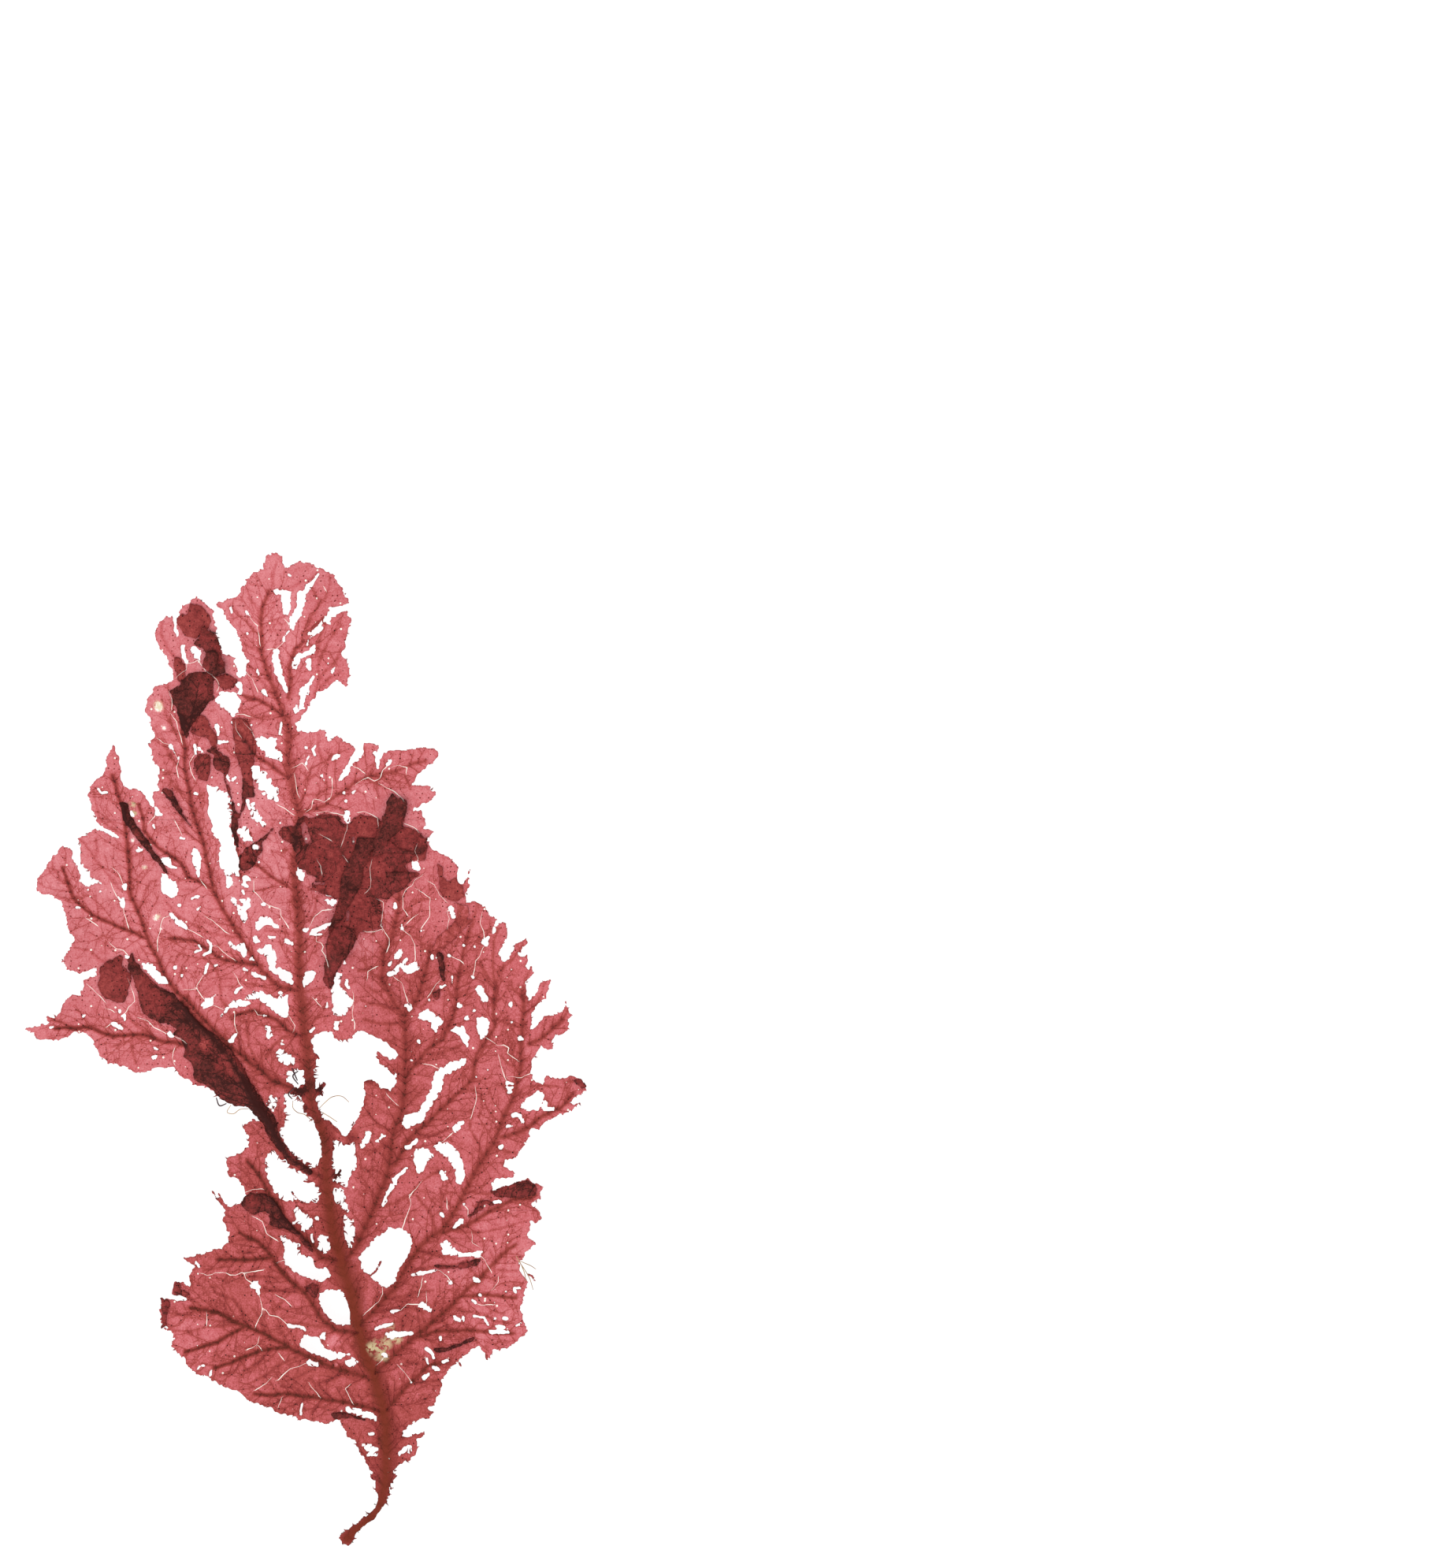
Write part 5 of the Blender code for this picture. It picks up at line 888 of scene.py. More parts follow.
def margin_lines():
    """The margin and the gaps as lines in millimetres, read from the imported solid.

    The underside of the lowest sheet is every face that looks down and lies at the resting height; its open
    edges are the outline of the plant, with the plant on their right.
    """
    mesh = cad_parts[NODE].data
    corners = np.empty(len(mesh.vertices) * 3, dtype=np.float32)
    mesh.vertices.foreach_get("co", corners)
    corners = corners.reshape(-1, 3).astype(float) / MM
    faces = np.empty(len(mesh.loops), dtype=np.int32)
    mesh.loops.foreach_get("vertex_index", faces)
    places, same = np.unique(corners.round(3), axis=0, return_inverse=True)
    faces = same.ravel()[faces].reshape(-1, 3)
    a, b, c = (places[faces[:, k]] for k in range(3))
    looks_down = np.cross(b - a, c - a)[:, 2] < 0.0
    off = np.abs(places[:, 2] - resting_height(places[:, 0], places[:, 1]))
    lowest = faces[looks_down & (off[faces].max(axis=1) < 0.05)]
    start, end = open_edges(lowest, len(places)).T
    count = len(start)
    return np.hstack([places[start, :2], places[end, :2], np.ones((count, 2)), np.zeros((count, 1))])


def grown_side_veins(grid, room, rib, spacing):
    """Side veins as lines: they leave each rib in turn to left and right, and grow step by step, all at once.

    A vein starts at about 48 degrees to its rib, bends towards the rib's tip and wavers. It ends after its
    own length, at the margin, or where another rib is nearer. Each bears shorter veins of its own.
    """
    generator = np.random.default_rng(VEIN_SEED)
    buds = []
    for owner, (_, _, *path) in enumerate(RIBS):
        points = points_of(path)
        distance = travelled(points)
        places = np.arange(0.6, distance[-1] - 0.2, spacing)
        places = places + generator.uniform(-0.45, 0.45, len(places)) * spacing
        here, ahead, behind = (
            np.column_stack([np.interp(places + off, distance, points[:, k]) for k in (0, 1)])
            for off in (0.0, 0.4, -0.4))
        heading = np.arctan2(*(ahead - behind).T[::-1])
        for turn in (1.0, -1.0):
            angle = VEIN_ANGLE + generator.normal(0.0, 0.14, len(places))
            kin = np.full((len(places), 2), (turn, owner))
            buds.append(np.column_stack([here, heading + turn * angle, kin]))
    buds, veins = np.vstack(buds), []
    for lengths, width in zip(VEIN_LENGTHS, VEIN_HALF_WIDTHS):
        lines, buds = grown(grid, room, rib, buds, generator, lengths, width)
        veins.append(lines)
    return np.vstack(veins)


def grown(grid, room, rib, buds, generator, lengths, width):
    """Lines of the veins that grow from buds, and the buds on them. A bud is x, y, heading, turn and rib."""
    place, (heading, turn, owner) = buds[:, :2], buds[:, 2:].T
    left = generator.uniform(*lengths, len(place))
    whole = left.copy()
    lines, young = [], []
    step = 0
    while len(place):
        ahead = place + VEIN_STRIDE * np.column_stack([np.cos(heading), np.sin(heading)])
        cell = cell_of(grid, *ahead.T)
        alive = (left > 0) & (room[cell] > VEIN_ROOM) & ((step < 2) | (rib.owner[cell] == owner))
        here, there = place[alive], ahead[alive]
        taper = width * (0.45 + 0.55 * (left / whole)[alive])
        lines.append(np.column_stack([here, there, taper, taper, owner[alive]]))
        if step % 3 == 2:
            side = np.where(generator.random(alive.sum()) < 0.5, -1.0, 1.0)
            young.append(np.column_stack([there, heading[alive] + side * 0.85, side, owner[alive]]))
        place, owner, whole = there, owner[alive], whole[alive]
        left = left[alive] - VEIN_STRIDE
        waver = generator.normal(0.0, 0.12, len(place))
        turn = turn[alive]
        heading = heading[alive] - turn * 0.035 + waver
        step += 1
    return np.vstack(lines), np.vstack(young)


def spotted(grid, tone, spots):
    """A tone with its spots taken off: each is whole within half its radius and gone at one and a half."""
    ragged = 1.0 + uneven(grid, "spot")
    for x, y, radius, lost in spots:
        away = np.hypot(grid.X - x, grid.Y - y) * ragged
        tone = tone - lost * np.clip(1.5 - away / radius, 0.0, 1.0)
    return tone


def membrane_tone(grid):
    """Pigment of single membrane: the named places' tones, which weigh less with distance, and slow drift."""
    total, weight = 0.0, 0.0
    for x, y, tone in MEMBRANE_TONES:
        near = 1.0 / ((grid.X - x) ** 2 + (grid.Y - y) ** 2 + TONE_REACH ** 2) ** 1.5
        total, weight = total + tone * near, weight + near
    return spotted(grid, total / weight + uneven(grid, "tone"), BLEACHED)


def teeth(grid, shape, across):
    """How far the margin stands out: a sharp tooth where a wave is zero, and more in shaggy places."""
    sharp = 1.0 - np.abs(wander(grid, shape.tooth_length / MM, TOOTH_SEED))
    tooth = shape.tooth_depth / MM * (TOOTH_GAIN * sharp ** 2 - TOOTH_SINK) + uneven(grid, "fringe")
    shaggy = sum(np.exp(-((grid.X - x) / half_x) ** 4 - ((grid.Y - y) / half_y) ** 4)
                 for x, y, half_x, half_y, _, _ in SPUR_PLACES[:SHAGGY_PLACES])
    tooth = tooth + shaggy * (uneven(grid, "shaggy") - SHAGGY_SINK)
    return np.where(across < 0.5, RIB_TEETH, 1.0) * tooth


def heights(grid, shape, room, ridge, veins, soft_rib):
    """The sheet's underside and upper face: it rests on its waves, crumpled and ruffled, and bears its ribs.

    A rib's section is a parabola as wide as the rib, and veins and lesser ribs are bell curves. The ruffle is
    gone on the ribs and well inside the margin.
    """
    near_edge = np.clip(1.0 - np.abs(room) / RUFFLE_REACH, 0.0, 1.0) ** 2 * (1.0 - ridge.across) ** 0.5
    near_edge = np.where(ridge.across == 0, 0.0, near_edge)
    ruffle = shape.ruffle / MM * near_edge * (0.5 + uneven(grid, "ruffle")) ** 2
    crumple = (uneven(grid, "crumple") + CRUMPLE_HEIGHT) * (1.0 - (1.0 - ridge.across) ** 2)
    under = resting_height(grid.X, grid.Y) + ruffle + crumple
    rise = RIB_HEIGHT_RATIO * ridge.width * (1.0 - ridge.across ** 2)
    relief = VEIN_HEIGHT * bell(veins.gap, VEIN_RELIEF_WIDTH) + LESSER_RIB_HEIGHT * soft_rib
    return under, under + shape.membrane / MM + rise + relief


def colouring(grid, room, torn, shred, ridge, veins, soft_rib):
    """The single membrane's tone, and the sheet's pigment, cortex and straw.

    Pigment is the membrane's, more on ribs, veins and rims, and at least a strand's on strands. A rib holds
    it in a halo, and a blade's rib also in a fine line along its middle. Dark growth adds to it and hides
    cortex.
    """
    tone = membrane_tone(grid)
    foot = np.interp(grid.Y, [CORTEX_FOOT, CORTEX_TOP], [1.0, 0.0])
    is_axis = (ridge.owner < len(AXIS_RIBS)) & (ridge.owner >= 0)
    halo = bell(ridge.gap, HALO_SPREAD * ridge.width)
    lined = (1.0 - RIB_LINE_SHARE) * halo + RIB_LINE_SHARE * bell(ridge.gap, RIB_LINE_WIDTH)
    core = np.where(is_axis, halo, lined)
    of_axis = AXIS_PIGMENT + AXIS_FOOT_PIGMENT * foot - tone
    of_blade = np.interp(grid.X, BLADE_RIB_SIDES, BLADE_RIB_PIGMENT) + BLADE_RIB_FOOT_PIGMENT * foot
    rim = bell(np.clip(np.minimum(room, torn), 0.0, None), RIM_WIDTH)
    pigment = (tone + core * np.where(is_axis, of_axis, of_blade)
               + LESSER_RIB_PIGMENT * soft_rib * (1.0 - core)
               + VEIN_PIGMENT * bell(veins.gap, VEIN_COLOUR_WIDTH) + RIM_PIGMENT * rim)
    on_strand = (shred > 0.0) & (room < 0.2)
    pigment = spotted(grid, np.where(on_strand, np.maximum(pigment, STRAND_PIGMENT), pigment), GROWTH)
    none = np.zeros(room.shape)
    dark = np.clip(spotted(grid, none, GROWTH) / 0.4, 0.0, 1.0)
    cortex = np.where(is_axis, core, 0.45 * core) * foot * (1.0 - dark)
    return tone, pigment, cortex, np.clip(spotted(grid, none, STRAW_SPOTS), 0.0, 1.0)


@functools.lru_cache(maxsize=1)
def survey():
    """Every field of the lowest sheet over the grid, with lengths in millimetres.

    Keep is above zero where there is sheet.
    """
    shape = bpy.context.scene.seaweed_shape
    grid = grid_over_plant(shape.step / MM)
    crooked = bent(grid)
    lines = margin_lines()
    room = room_within(grid, lines)
    rib = nearest_line(crooked, lines_of(RIBS), BLADE_REACH)
    ridge = nearest_line(crooked, lines_of(RIBS), MARGIN_REACH, by_width=True)
    ridge.across = np.clip(ridge.gap / ridge.width, 0.0, 1.0)
    lesser_lines = lines_of((*LESSER_HALF_WIDTHS, *path) for path in LESSER_RIBS)
    lesser = nearest_line(crooked, lesser_lines, LESSER_RIB_REACH)
    soft_rib = bell(lesser.gap, LESSER_RIB_SPREAD * lesser.width)
    tear_lines = lines_of(tapered(half, path) for half, paths in TEARS.items() for path in paths)
    tears = nearest_line(crooked, tear_lines, TEAR_REACH)
    torn = tears.gap - tears.width * (1.0 + uneven(grid, "tear"))
    strand_lines = lines_of((half, 0.8 * half, *path) for half, *path in STRANDS)
    strands = nearest_line(crooked, strand_lines, TEAR_REACH)
    shred = strands.width * (1.05 + uneven(grid, "strand")) - strands.gap
    keep = np.maximum(np.minimum(room + teeth(grid, shape, ridge.across), torn), shred)
    veins = nearest_line(grid, grown_side_veins(grid, room, rib, shape.vein_spacing / MM), FINE_REACH)
    cracks = nearest_line(crooked, lines_of((*CRACK_HALF_WIDTHS, *path) for path in CRACKS), FINE_REACH)
    cracks.width = cracks.width * (1.0 + uneven(grid, "crack"))
    under, top = heights(grid, shape, room, ridge, veins, soft_rib)
    tone, pigment, cortex, straw = colouring(grid, room, torn, shred, ridge, veins, soft_rib)
    return SimpleNamespace(grid=grid, lines=lines, room=room, keep=keep, under=under, top=top, tone=tone,
                           pigment=pigment, cortex=cortex, straw=straw, veins=veins, cracks=cracks)


def sheet_values(pigment, cortex, straw, veins, cracks, crack_share=1.0):
    """A sheet's values by their names in SHEET_VALUES.

    A vein's and a crack's gap are signed shares of its half width, and its weight fades away from it.
    """
    values = [pigment, cortex, straw]
    for lines, reach, share in ((veins, 6.0, 1.0), (cracks, 9.0, crack_share)):
        values.append(np.clip(lines.side * lines.gap / lines.width, -reach, reach))
        values.append(share * np.clip(1.9 - lines.gap / 0.2, 0.0, 1.0))
    return dict(zip(SHEET_VALUES, values))


def cut_from_grid(grid, keep, region):
    """Triangles of the sheet where keep is positive: grid points near its zero are moved onto it.

    A point moves down the slope of keep by keep over the slope. Each cell gives two triangles, on
    alternating diagonals, and one is kept if no corner lies outside and it isn't flat on the outline.
    Returns the flattened grid numbers of the triangles' corners and the moved points.
    """
    slope_y, slope_x = np.gradient(keep, grid.step)
    steep = np.maximum(slope_x ** 2 + slope_y ** 2, GENTLEST)
    near = np.abs(keep) <= SNAP_SHARE * grid.step
    shift = np.where(near, -keep / steep, 0.0)
    limit = MOVE_SHARE * grid.step
    moved_x = grid.X + np.clip(shift * slope_x, -limit, limit)
    moved_y = grid.Y + np.clip(shift * slope_y, -limit, limit)
    number = np.arange(keep.size).reshape(keep.shape)
    a, b = number[:-1, :-1], number[:-1, 1:]
    c, d = number[1:, 1:], number[1:, :-1]
    even = (np.add.outer(np.arange(a.shape[0]), np.arange(a.shape[1])) % 2 == 0) & region
    odd = ~even & region
    faces = np.vstack([
        np.column_stack([a[even], b[even], c[even]]), np.column_stack([a[even], c[even], d[even]]),
        np.column_stack([a[odd], b[odd], d[odd]]), np.column_stack([b[odd], c[odd], d[odd]])])
    values = keep.ravel()[faces]
    settled = np.where(near.ravel()[faces], 0.0, values)
    whole = (settled >= 0.0).all(axis=1)
    whole &= (settled.max(axis=1) > 0.0) | (values.mean(axis=1) > 0.0)
    return faces[whole], moved_x.ravel(), moved_y.ravel()


def sheet_mesh(name, grid, keep, region, under, top, values):
    """A closed thin sheet: the cut triangles on top, the same ones turned over below, and walls between."""
    faces, moved_x, moved_y = cut_from_grid(grid, keep, region)
    used, faces = np.unique(faces, return_inverse=True)
    faces = faces.reshape(-1, 3)
    count = len(used)
    if not count:
        raise RuntimeError(f"{name} came out empty")
    flat = np.column_stack([moved_x[used], moved_y[used]])
    corners = np.vstack([np.column_stack([flat, face.ravel()[used]]) for face in (top, under)])
    start, end = open_edges(faces, count).T
    walls = np.vstack([np.column_stack([end, start, start + count]),
                       np.column_stack([end, start + count, end + count])])
    triangles = np.vstack([faces, faces[:, ::-1] + count, walls])
    mesh = mesh_from_arrays(name, corners, triangles, np.arange(len(triangles)) < 2 * len(faces))
    for label, field in values.items():
        layer = mesh.attributes.new(label, "FLOAT", "POINT")
        layer.data.foreach_set("value", np.tile(field.ravel()[used], 2).astype(np.float32))
    return mesh


def mesh_from_arrays(name, corners, triangles, smooth=True):
    """A mesh from whole arrays of corners in millimetres, triangles, and which of them are smooth."""
    mesh = bpy.data.meshes.new(name)
    mesh.vertices.add(corners.size // 3)
    mesh.vertices.foreach_set("co", (corners * MM).astype(np.float32).ravel())
    mesh.loops.add(triangles.size)
    mesh.loops.foreach_set("vertex_index", triangles.astype(np.int32).ravel())
    mesh.polygons.add(len(triangles))
    mesh.polygons.foreach_set("loop_start", np.arange(0, triangles.size, 3, dtype=np.int32))
    mesh.polygons.foreach_set("use_smooth", np.full(len(triangles), smooth, dtype=bool))
    mesh.update(calc_edges=True)
    return mesh


def placed(mesh, material, tissue=True):
    """Puts the mesh on the plant's body as an object with the given material. Tissue takes the solid's place,
    and the solid is hidden.
    """
    made = bpy.data.objects.new(mesh.name, mesh)
    bpy.context.scene.collection.objects.link(made)
    mesh.materials.append(material)
    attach(made, BODY)
    if tissue:
        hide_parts(NODE)


def within_box(corners):
    """Corners in millimetres, none of them outside the solid's box or below the table."""
    low, high = (np.array(corner) / MM for corner in CAD_BOX)
    return np.clip(corners, low + (0.02, 0.02, 0.0), high - 0.02)


def band(number):
    """Triangles over rows of rings, given by their point numbers: two for each square."""
    turned = np.roll(number, -1, axis=-1)
    a, b, c, d = number[..., :-1, :], turned[..., :-1, :], turned[..., 1:, :], number[..., 1:, :]
    return np.vstack([np.stack(corners, axis=-1).reshape(-1, 3) for corners in ((a, b, c), (a, c, d))])


def fan(ring):
    """Triangles that close rings of point numbers, from each ring's first one."""
    first = np.broadcast_to(ring[..., :1], ring[..., 2:].shape)
    return np.stack([first, ring[..., 1:-1], ring[..., 2:]], axis=-1).reshape(-1, 3)


def tubes(paths, radii, sides=5):
    """Round tapering threads: paths are (threads, points, 3) and radii (threads, points), in millimetres.

    At each point a ring stands across the path, round its sideways and its upward direction, and each
    thread is closed at both ends by its first and last ring.
    """
    along = np.gradient(paths, axis=1)
    along /= np.maximum(np.linalg.norm(along, axis=2, keepdims=True), 1e-9)
    sideways = np.cross(along, (0.0, 0.0, 1.0))
    sideways /= np.maximum(np.linalg.norm(sideways, axis=2, keepdims=True), 1e-9)
    upward = np.cross(sideways, along)
    turn = np.arange(sides) * 2.0 * math.pi / sides
    ring = np.cos(turn)[:, None] * sideways[:, :, None, :] + np.sin(turn)[:, None] * upward[:, :, None, :]
    corners = within_box(paths[:, :, None, :] + radii[:, :, None, None] * ring)
    number = np.arange(radii.size * sides).reshape(*radii.shape, sides)
    return corners, np.vstack([band(number), fan(number[:, 0])[:, ::-1], fan(number[:, -1])])


def resampled(path, count):
    """A path's x and y at even steps, rounded by a cubic through its points."""
    points = points_of(path)
    distance = travelled(points)
    places = np.linspace(0.0, distance[-1], count)
    slopes = np.gradient(points, distance, axis=0)
    which = np.clip(np.searchsorted(distance, places, side="right") - 1, 0, len(points) - 2)
    length = (distance[which + 1] - distance[which])[:, None]
    t = (places - distance[which])[:, None] / length
    return ((1 + 2 * t) * (1 - t) ** 2 * points[which] + t * (1 - t) ** 2 * length * slopes[which]
            + t * t * (3 - 2 * t) * points[which + 1] + t * t * (t - 1) * length * slopes[which + 1])


def threads_on_sheet(fields, paths, radius, count=24, lift=0.45):
    """Centre lines and radii of threads that follow the sheet and thin out towards both ends."""
    flat = np.array([resampled(path, count) for path in paths])
    x, y = flat[..., 0], flat[..., 1]
    cell = cell_of(fields.grid, x, y)
    height = np.where(fields.keep[cell] > 0, fields.top[cell], resting_height(x, y)) + lift
    taper = 0.45 + 0.55 * np.sin(math.pi * (0.15 + 0.7 * np.linspace(0.0, 1.0, count)))
    return np.dstack([flat, height]), radius * np.tile(taper, (len(paths), 1))


def node(tree, kind, inputs=None, **settings):
    """A shader node with its settings, each input either linked or set."""
    made = tree.nodes.new(kind)
    for key, value in settings.items():
        setattr(made, key, value)
    for key, value in (inputs or {}).items():
        if isinstance(value, bpy.types.NodeSocket):
            tree.links.new(value, made.inputs[key])
        else:
            made.inputs[key].default_value = value
    return made


def math_node(tree, operation, first, second=0.0, third=0.0):
    """The output of one Math node."""
    return node(tree, "ShaderNodeMath", {0: first, 1: second, 2: third}, operation=operation).outputs[0]


def stepped(tree, value, low, high, start=0.0, end=1.0):
    """A smooth step of a value from start to end."""
    made = node(tree, "ShaderNodeMapRange", {"Value": value, "From Min": low, "From Max": high,
                                             "To Min": start, "To Max": end}, interpolation_type="SMOOTHSTEP")
    return made.outputs["Result"]


def faded(tree, value, low, high, end=0.0):
    """A smooth step of a value down from one."""
    return stepped(tree, value, low, high, 1.0, end)


def mixed(tree, share, first, second):
    """Two colours mixed by a share."""
    return node(tree, "ShaderNodeMix", {0: share, 6: first, 7: second}, data_type="RGBA").outputs[2]


def specks(tree, where, density, channel, missing, largest, blur):
    """A mask of round specks of unlike sizes, at most one to a cell: missing is the share of empty cells."""
    cells = node(tree, "ShaderNodeTexVoronoi", {"Vector": where, "Scale": density}, voronoi_dimensions="2D")
    chance = node(tree, "ShaderNodeSeparateColor", {"Color": cells.outputs["Color"]}).outputs[channel]
    size = stepped(tree, chance, missing, 1.0, -0.02, largest)
    return faded(tree, math_node(tree, "SUBTRACT", cells.outputs["Distance"], size), 0.0, blur)


def socket_name(value):
    """The name that one of SHEET_VALUES has on the group."""
    return value.replace("_", " ").title()


def frond_tint():
    """Group: the sheet's values in, the colour and relief of living membrane out.

    The pigment is raised or lowered by slow, blotchy and grainy noise, and raised by a net of cells, vein
    lines and dark dots. A ramp turns it into a colour. Cortex and straw lie over that, cracks and pinholes
    over all.
    """
    colours = bpy.context.scene.seaweed_colours
    tree = bpy.data.node_groups.new("frond_tint", "ShaderNodeTree")
    for name in (*map(socket_name, SHEET_VALUES), "Mottle"):
        tree.interface.new_socket(name, in_out="INPUT", socket_type="NodeSocketFloat")
    tree.interface.new_socket("Color", in_out="OUTPUT", socket_type="NodeSocketColor")
    tree.interface.new_socket("Height", in_out="OUTPUT", socket_type="NodeSocketFloat")
    given = tree.nodes.new("NodeGroupInput").outputs
    maths = functools.partial(math_node, tree)
    where = node(tree, "ShaderNodeTexCoord").outputs["Object"]
    in_mm = node(tree, "ShaderNodeVectorMath", {0: where, "Scale": 1.0 / MM}, operation="SCALE").outputs[0]
    noise = {label: node(tree, "ShaderNodeTexNoise", {"Vector": in_mm, "Scale": scale, "Detail": detail},
                         noise_dimensions="2D").outputs for label, (scale, detail) in NOISES.items()}
    vein = maths("ABSOLUTE", given["Vein Gap"])
    vein_line = maths("MULTIPLY", faded(tree, vein, 0.35, 1.35), given["Vein Weight"])
    crack_line = faded(tree, maths("ABSOLUTE", given["Crack Gap"]), 0.5, 1.3)
    crack = maths("MULTIPLY", crack_line, given["Crack Weight"])
    wavy = node(tree, "ShaderNodeVectorMath", {0: noise["blotch"]["Color"], 1: (0.9, 0.9, 0.9), 2: in_mm},
                operation="MULTIPLY_ADD").outputs[0]
    cells = node(tree, "ShaderNodeTexVoronoi", {"Vector": wavy, "Scale": 0.95}, voronoi_dimensions="2D",
                 feature="DISTANCE_TO_EDGE").outputs["Distance"]
    net = faded(tree, cells, 0.0, 0.13)
    on_rib = maths("MULTIPLY", stepped(tree, given["Pigment"], 0.42, 0.62), 0.8)
    dot_room = maths("MAXIMUM", faded(tree, vein, 1.0, 3.0, end=0.12), on_rib)
    dot = maths("MULTIPLY", specks(tree, in_mm, 1.5, 1, 0.25, 0.14, 0.05), dot_room)
    pale = faded(tree, given["Pigment"], 0.4, 0.5)
    pinhole = maths("MULTIPLY", specks(tree, in_mm, 0.62, 0, 0.7, 0.08, 0.02), pale)
    patterns = {label: maths("SUBTRACT", outputs["Fac"], 0.5) for label, outputs in noise.items()}
    amount = maths("MULTIPLY_ADD", patterns["blotch"], given["Mottle"], given["Pigment"])
    patterns.update(net=net, vein=vein_line, dot=dot)
    for label, gain in GAINS.items():
        amount = maths("MULTIPLY_ADD", patterns[label], gain, amount)
    ramp = node(tree, "ShaderNodeValToRGB", {"Fac": amount})
    stops = [(position, getattr(colours, name)) for name, position in COLOUR_STOPS.items()]
    stops.append((1.0, [part * DARKEST for part in colours.dark]))
    elements = ramp.color_ramp.elements
    for position, _ in stops[1:-1]:
        elements.new(position)
    for element, (position, colour) in zip(elements, stops):
        element.position, element.color = position, (*colour, 1.0)
    dead = maths("MULTIPLY", given["Straw"], stepped(tree, noise["blotch"]["Fac"], 0.38, 0.52))
    colour = ramp.outputs["Color"]
    for share, over in ((maths("MULTIPLY", given["Cortex"], 0.85), colours.cortex), (dead, colours.straw),
                        (maths("MAXIMUM", crack, pinhole), colours.bare)):
        colour = mixed(tree, share, colour, (*over, 1.0))
    height = maths("MULTIPLY_ADD", vein_line, 0.6, maths("MULTIPLY", noise["grain"]["Fac"], 0.4))
    node(tree, "NodeGroupOutput", {"Color": colour, "Height": height})
    return tree


def new_material(name, roughness):
    """A material, its node tree and the inputs of its shader."""
    made = bpy.data.materials.new(name)
    made.use_nodes = True
    inputs = made.node_tree.nodes["Principled BSDF"].inputs
    inputs["Roughness"].default_value = roughness
    return made, made.node_tree, inputs


def dress(tree, inputs, colour, height, strength):
    """Give a shader its colour, and its relief through a Bump node."""
    bump = node(tree, "ShaderNodeBump", {"Height": height, "Strength": strength, "Distance": RELIEF * MM})
    tree.links.new(colour, inputs["Base Color"])
    tree.links.new(bump.outputs["Normal"], inputs["Normal"])


@functools.lru_cache(maxsize=None)
def frond_material(name, roughness, mottle):
    """Damp membrane, coloured by the frond_tint group."""
    made, tree, inputs = new_material(name, roughness)
    inputs["Specular IOR Level"].default_value = 0.09
    group = bpy.data.node_groups.get("frond_tint") or frond_tint()
    values = {socket_name(value): node(tree, "ShaderNodeAttribute", attribute_name=value).outputs["Fac"]
              for value in SHEET_VALUES}
    tint = node(tree, "ShaderNodeGroup", {**values, "Mottle": mottle}, node_tree=group).outputs
    dress(tree, inputs, tint["Color"], tint["Height"], 0.5)
    return made


def plain_material(name):
    """Two colours blended by fine noise, for threads, spurs, holdfast and grit."""
    first, second, scale, roughness = PLAIN_LOOKS[name]
    made, tree, inputs = new_material(name, roughness)
    where = node(tree, "ShaderNodeTexCoord").outputs["Object"]
    noise = node(tree, "ShaderNodeTexNoise", {"Vector": where, "Scale": scale / MM, "Detail": 3.0})
    share = noise.outputs["Fac"]
    colour = mixed(tree, stepped(tree, share, 0.35, 0.65), (*first, 1.0), (*second, 1.0))
    dress(tree, inputs, colour, share, 0.4)
    return made


class SEAWEED_OT_blades(bpy.types.Operator):
    """Cut the plant's own sheet, with its midribs, ribs, veins and tears, from the grid in five stretches"""
    bl_idname = "seaweed.blades"
    bl_label = "Blades and midribs"

    def execute(self, context):
        fields = survey()
        grid = fields.grid
        row = np.digitize(grid.Y[:-1, :-1], SHEET_ROWS)
        column = np.digitize(grid.X[:-1, :-1], SHEET_COLUMNS)
        stretches = {
            "crown_blades": row == 2, "left_blades": (row == 1) & (column == 0),
            "centre_blades": (row == 1) & (column == 1), "right_blades": (row == 1) & (column == 2),
            "lower_blades": row == 0,
        }
        values = sheet_values(fields.pigment, fields.cortex, fields.straw, fields.veins, fields.cracks)
        material = frond_material("frond_membrane", 0.6, 0.0)
        for name, region in stretches.items():
            placed(sheet_mesh(name, grid, fields.keep, region, fields.under, fields.top, values), material)
        return {"FINISHED"}


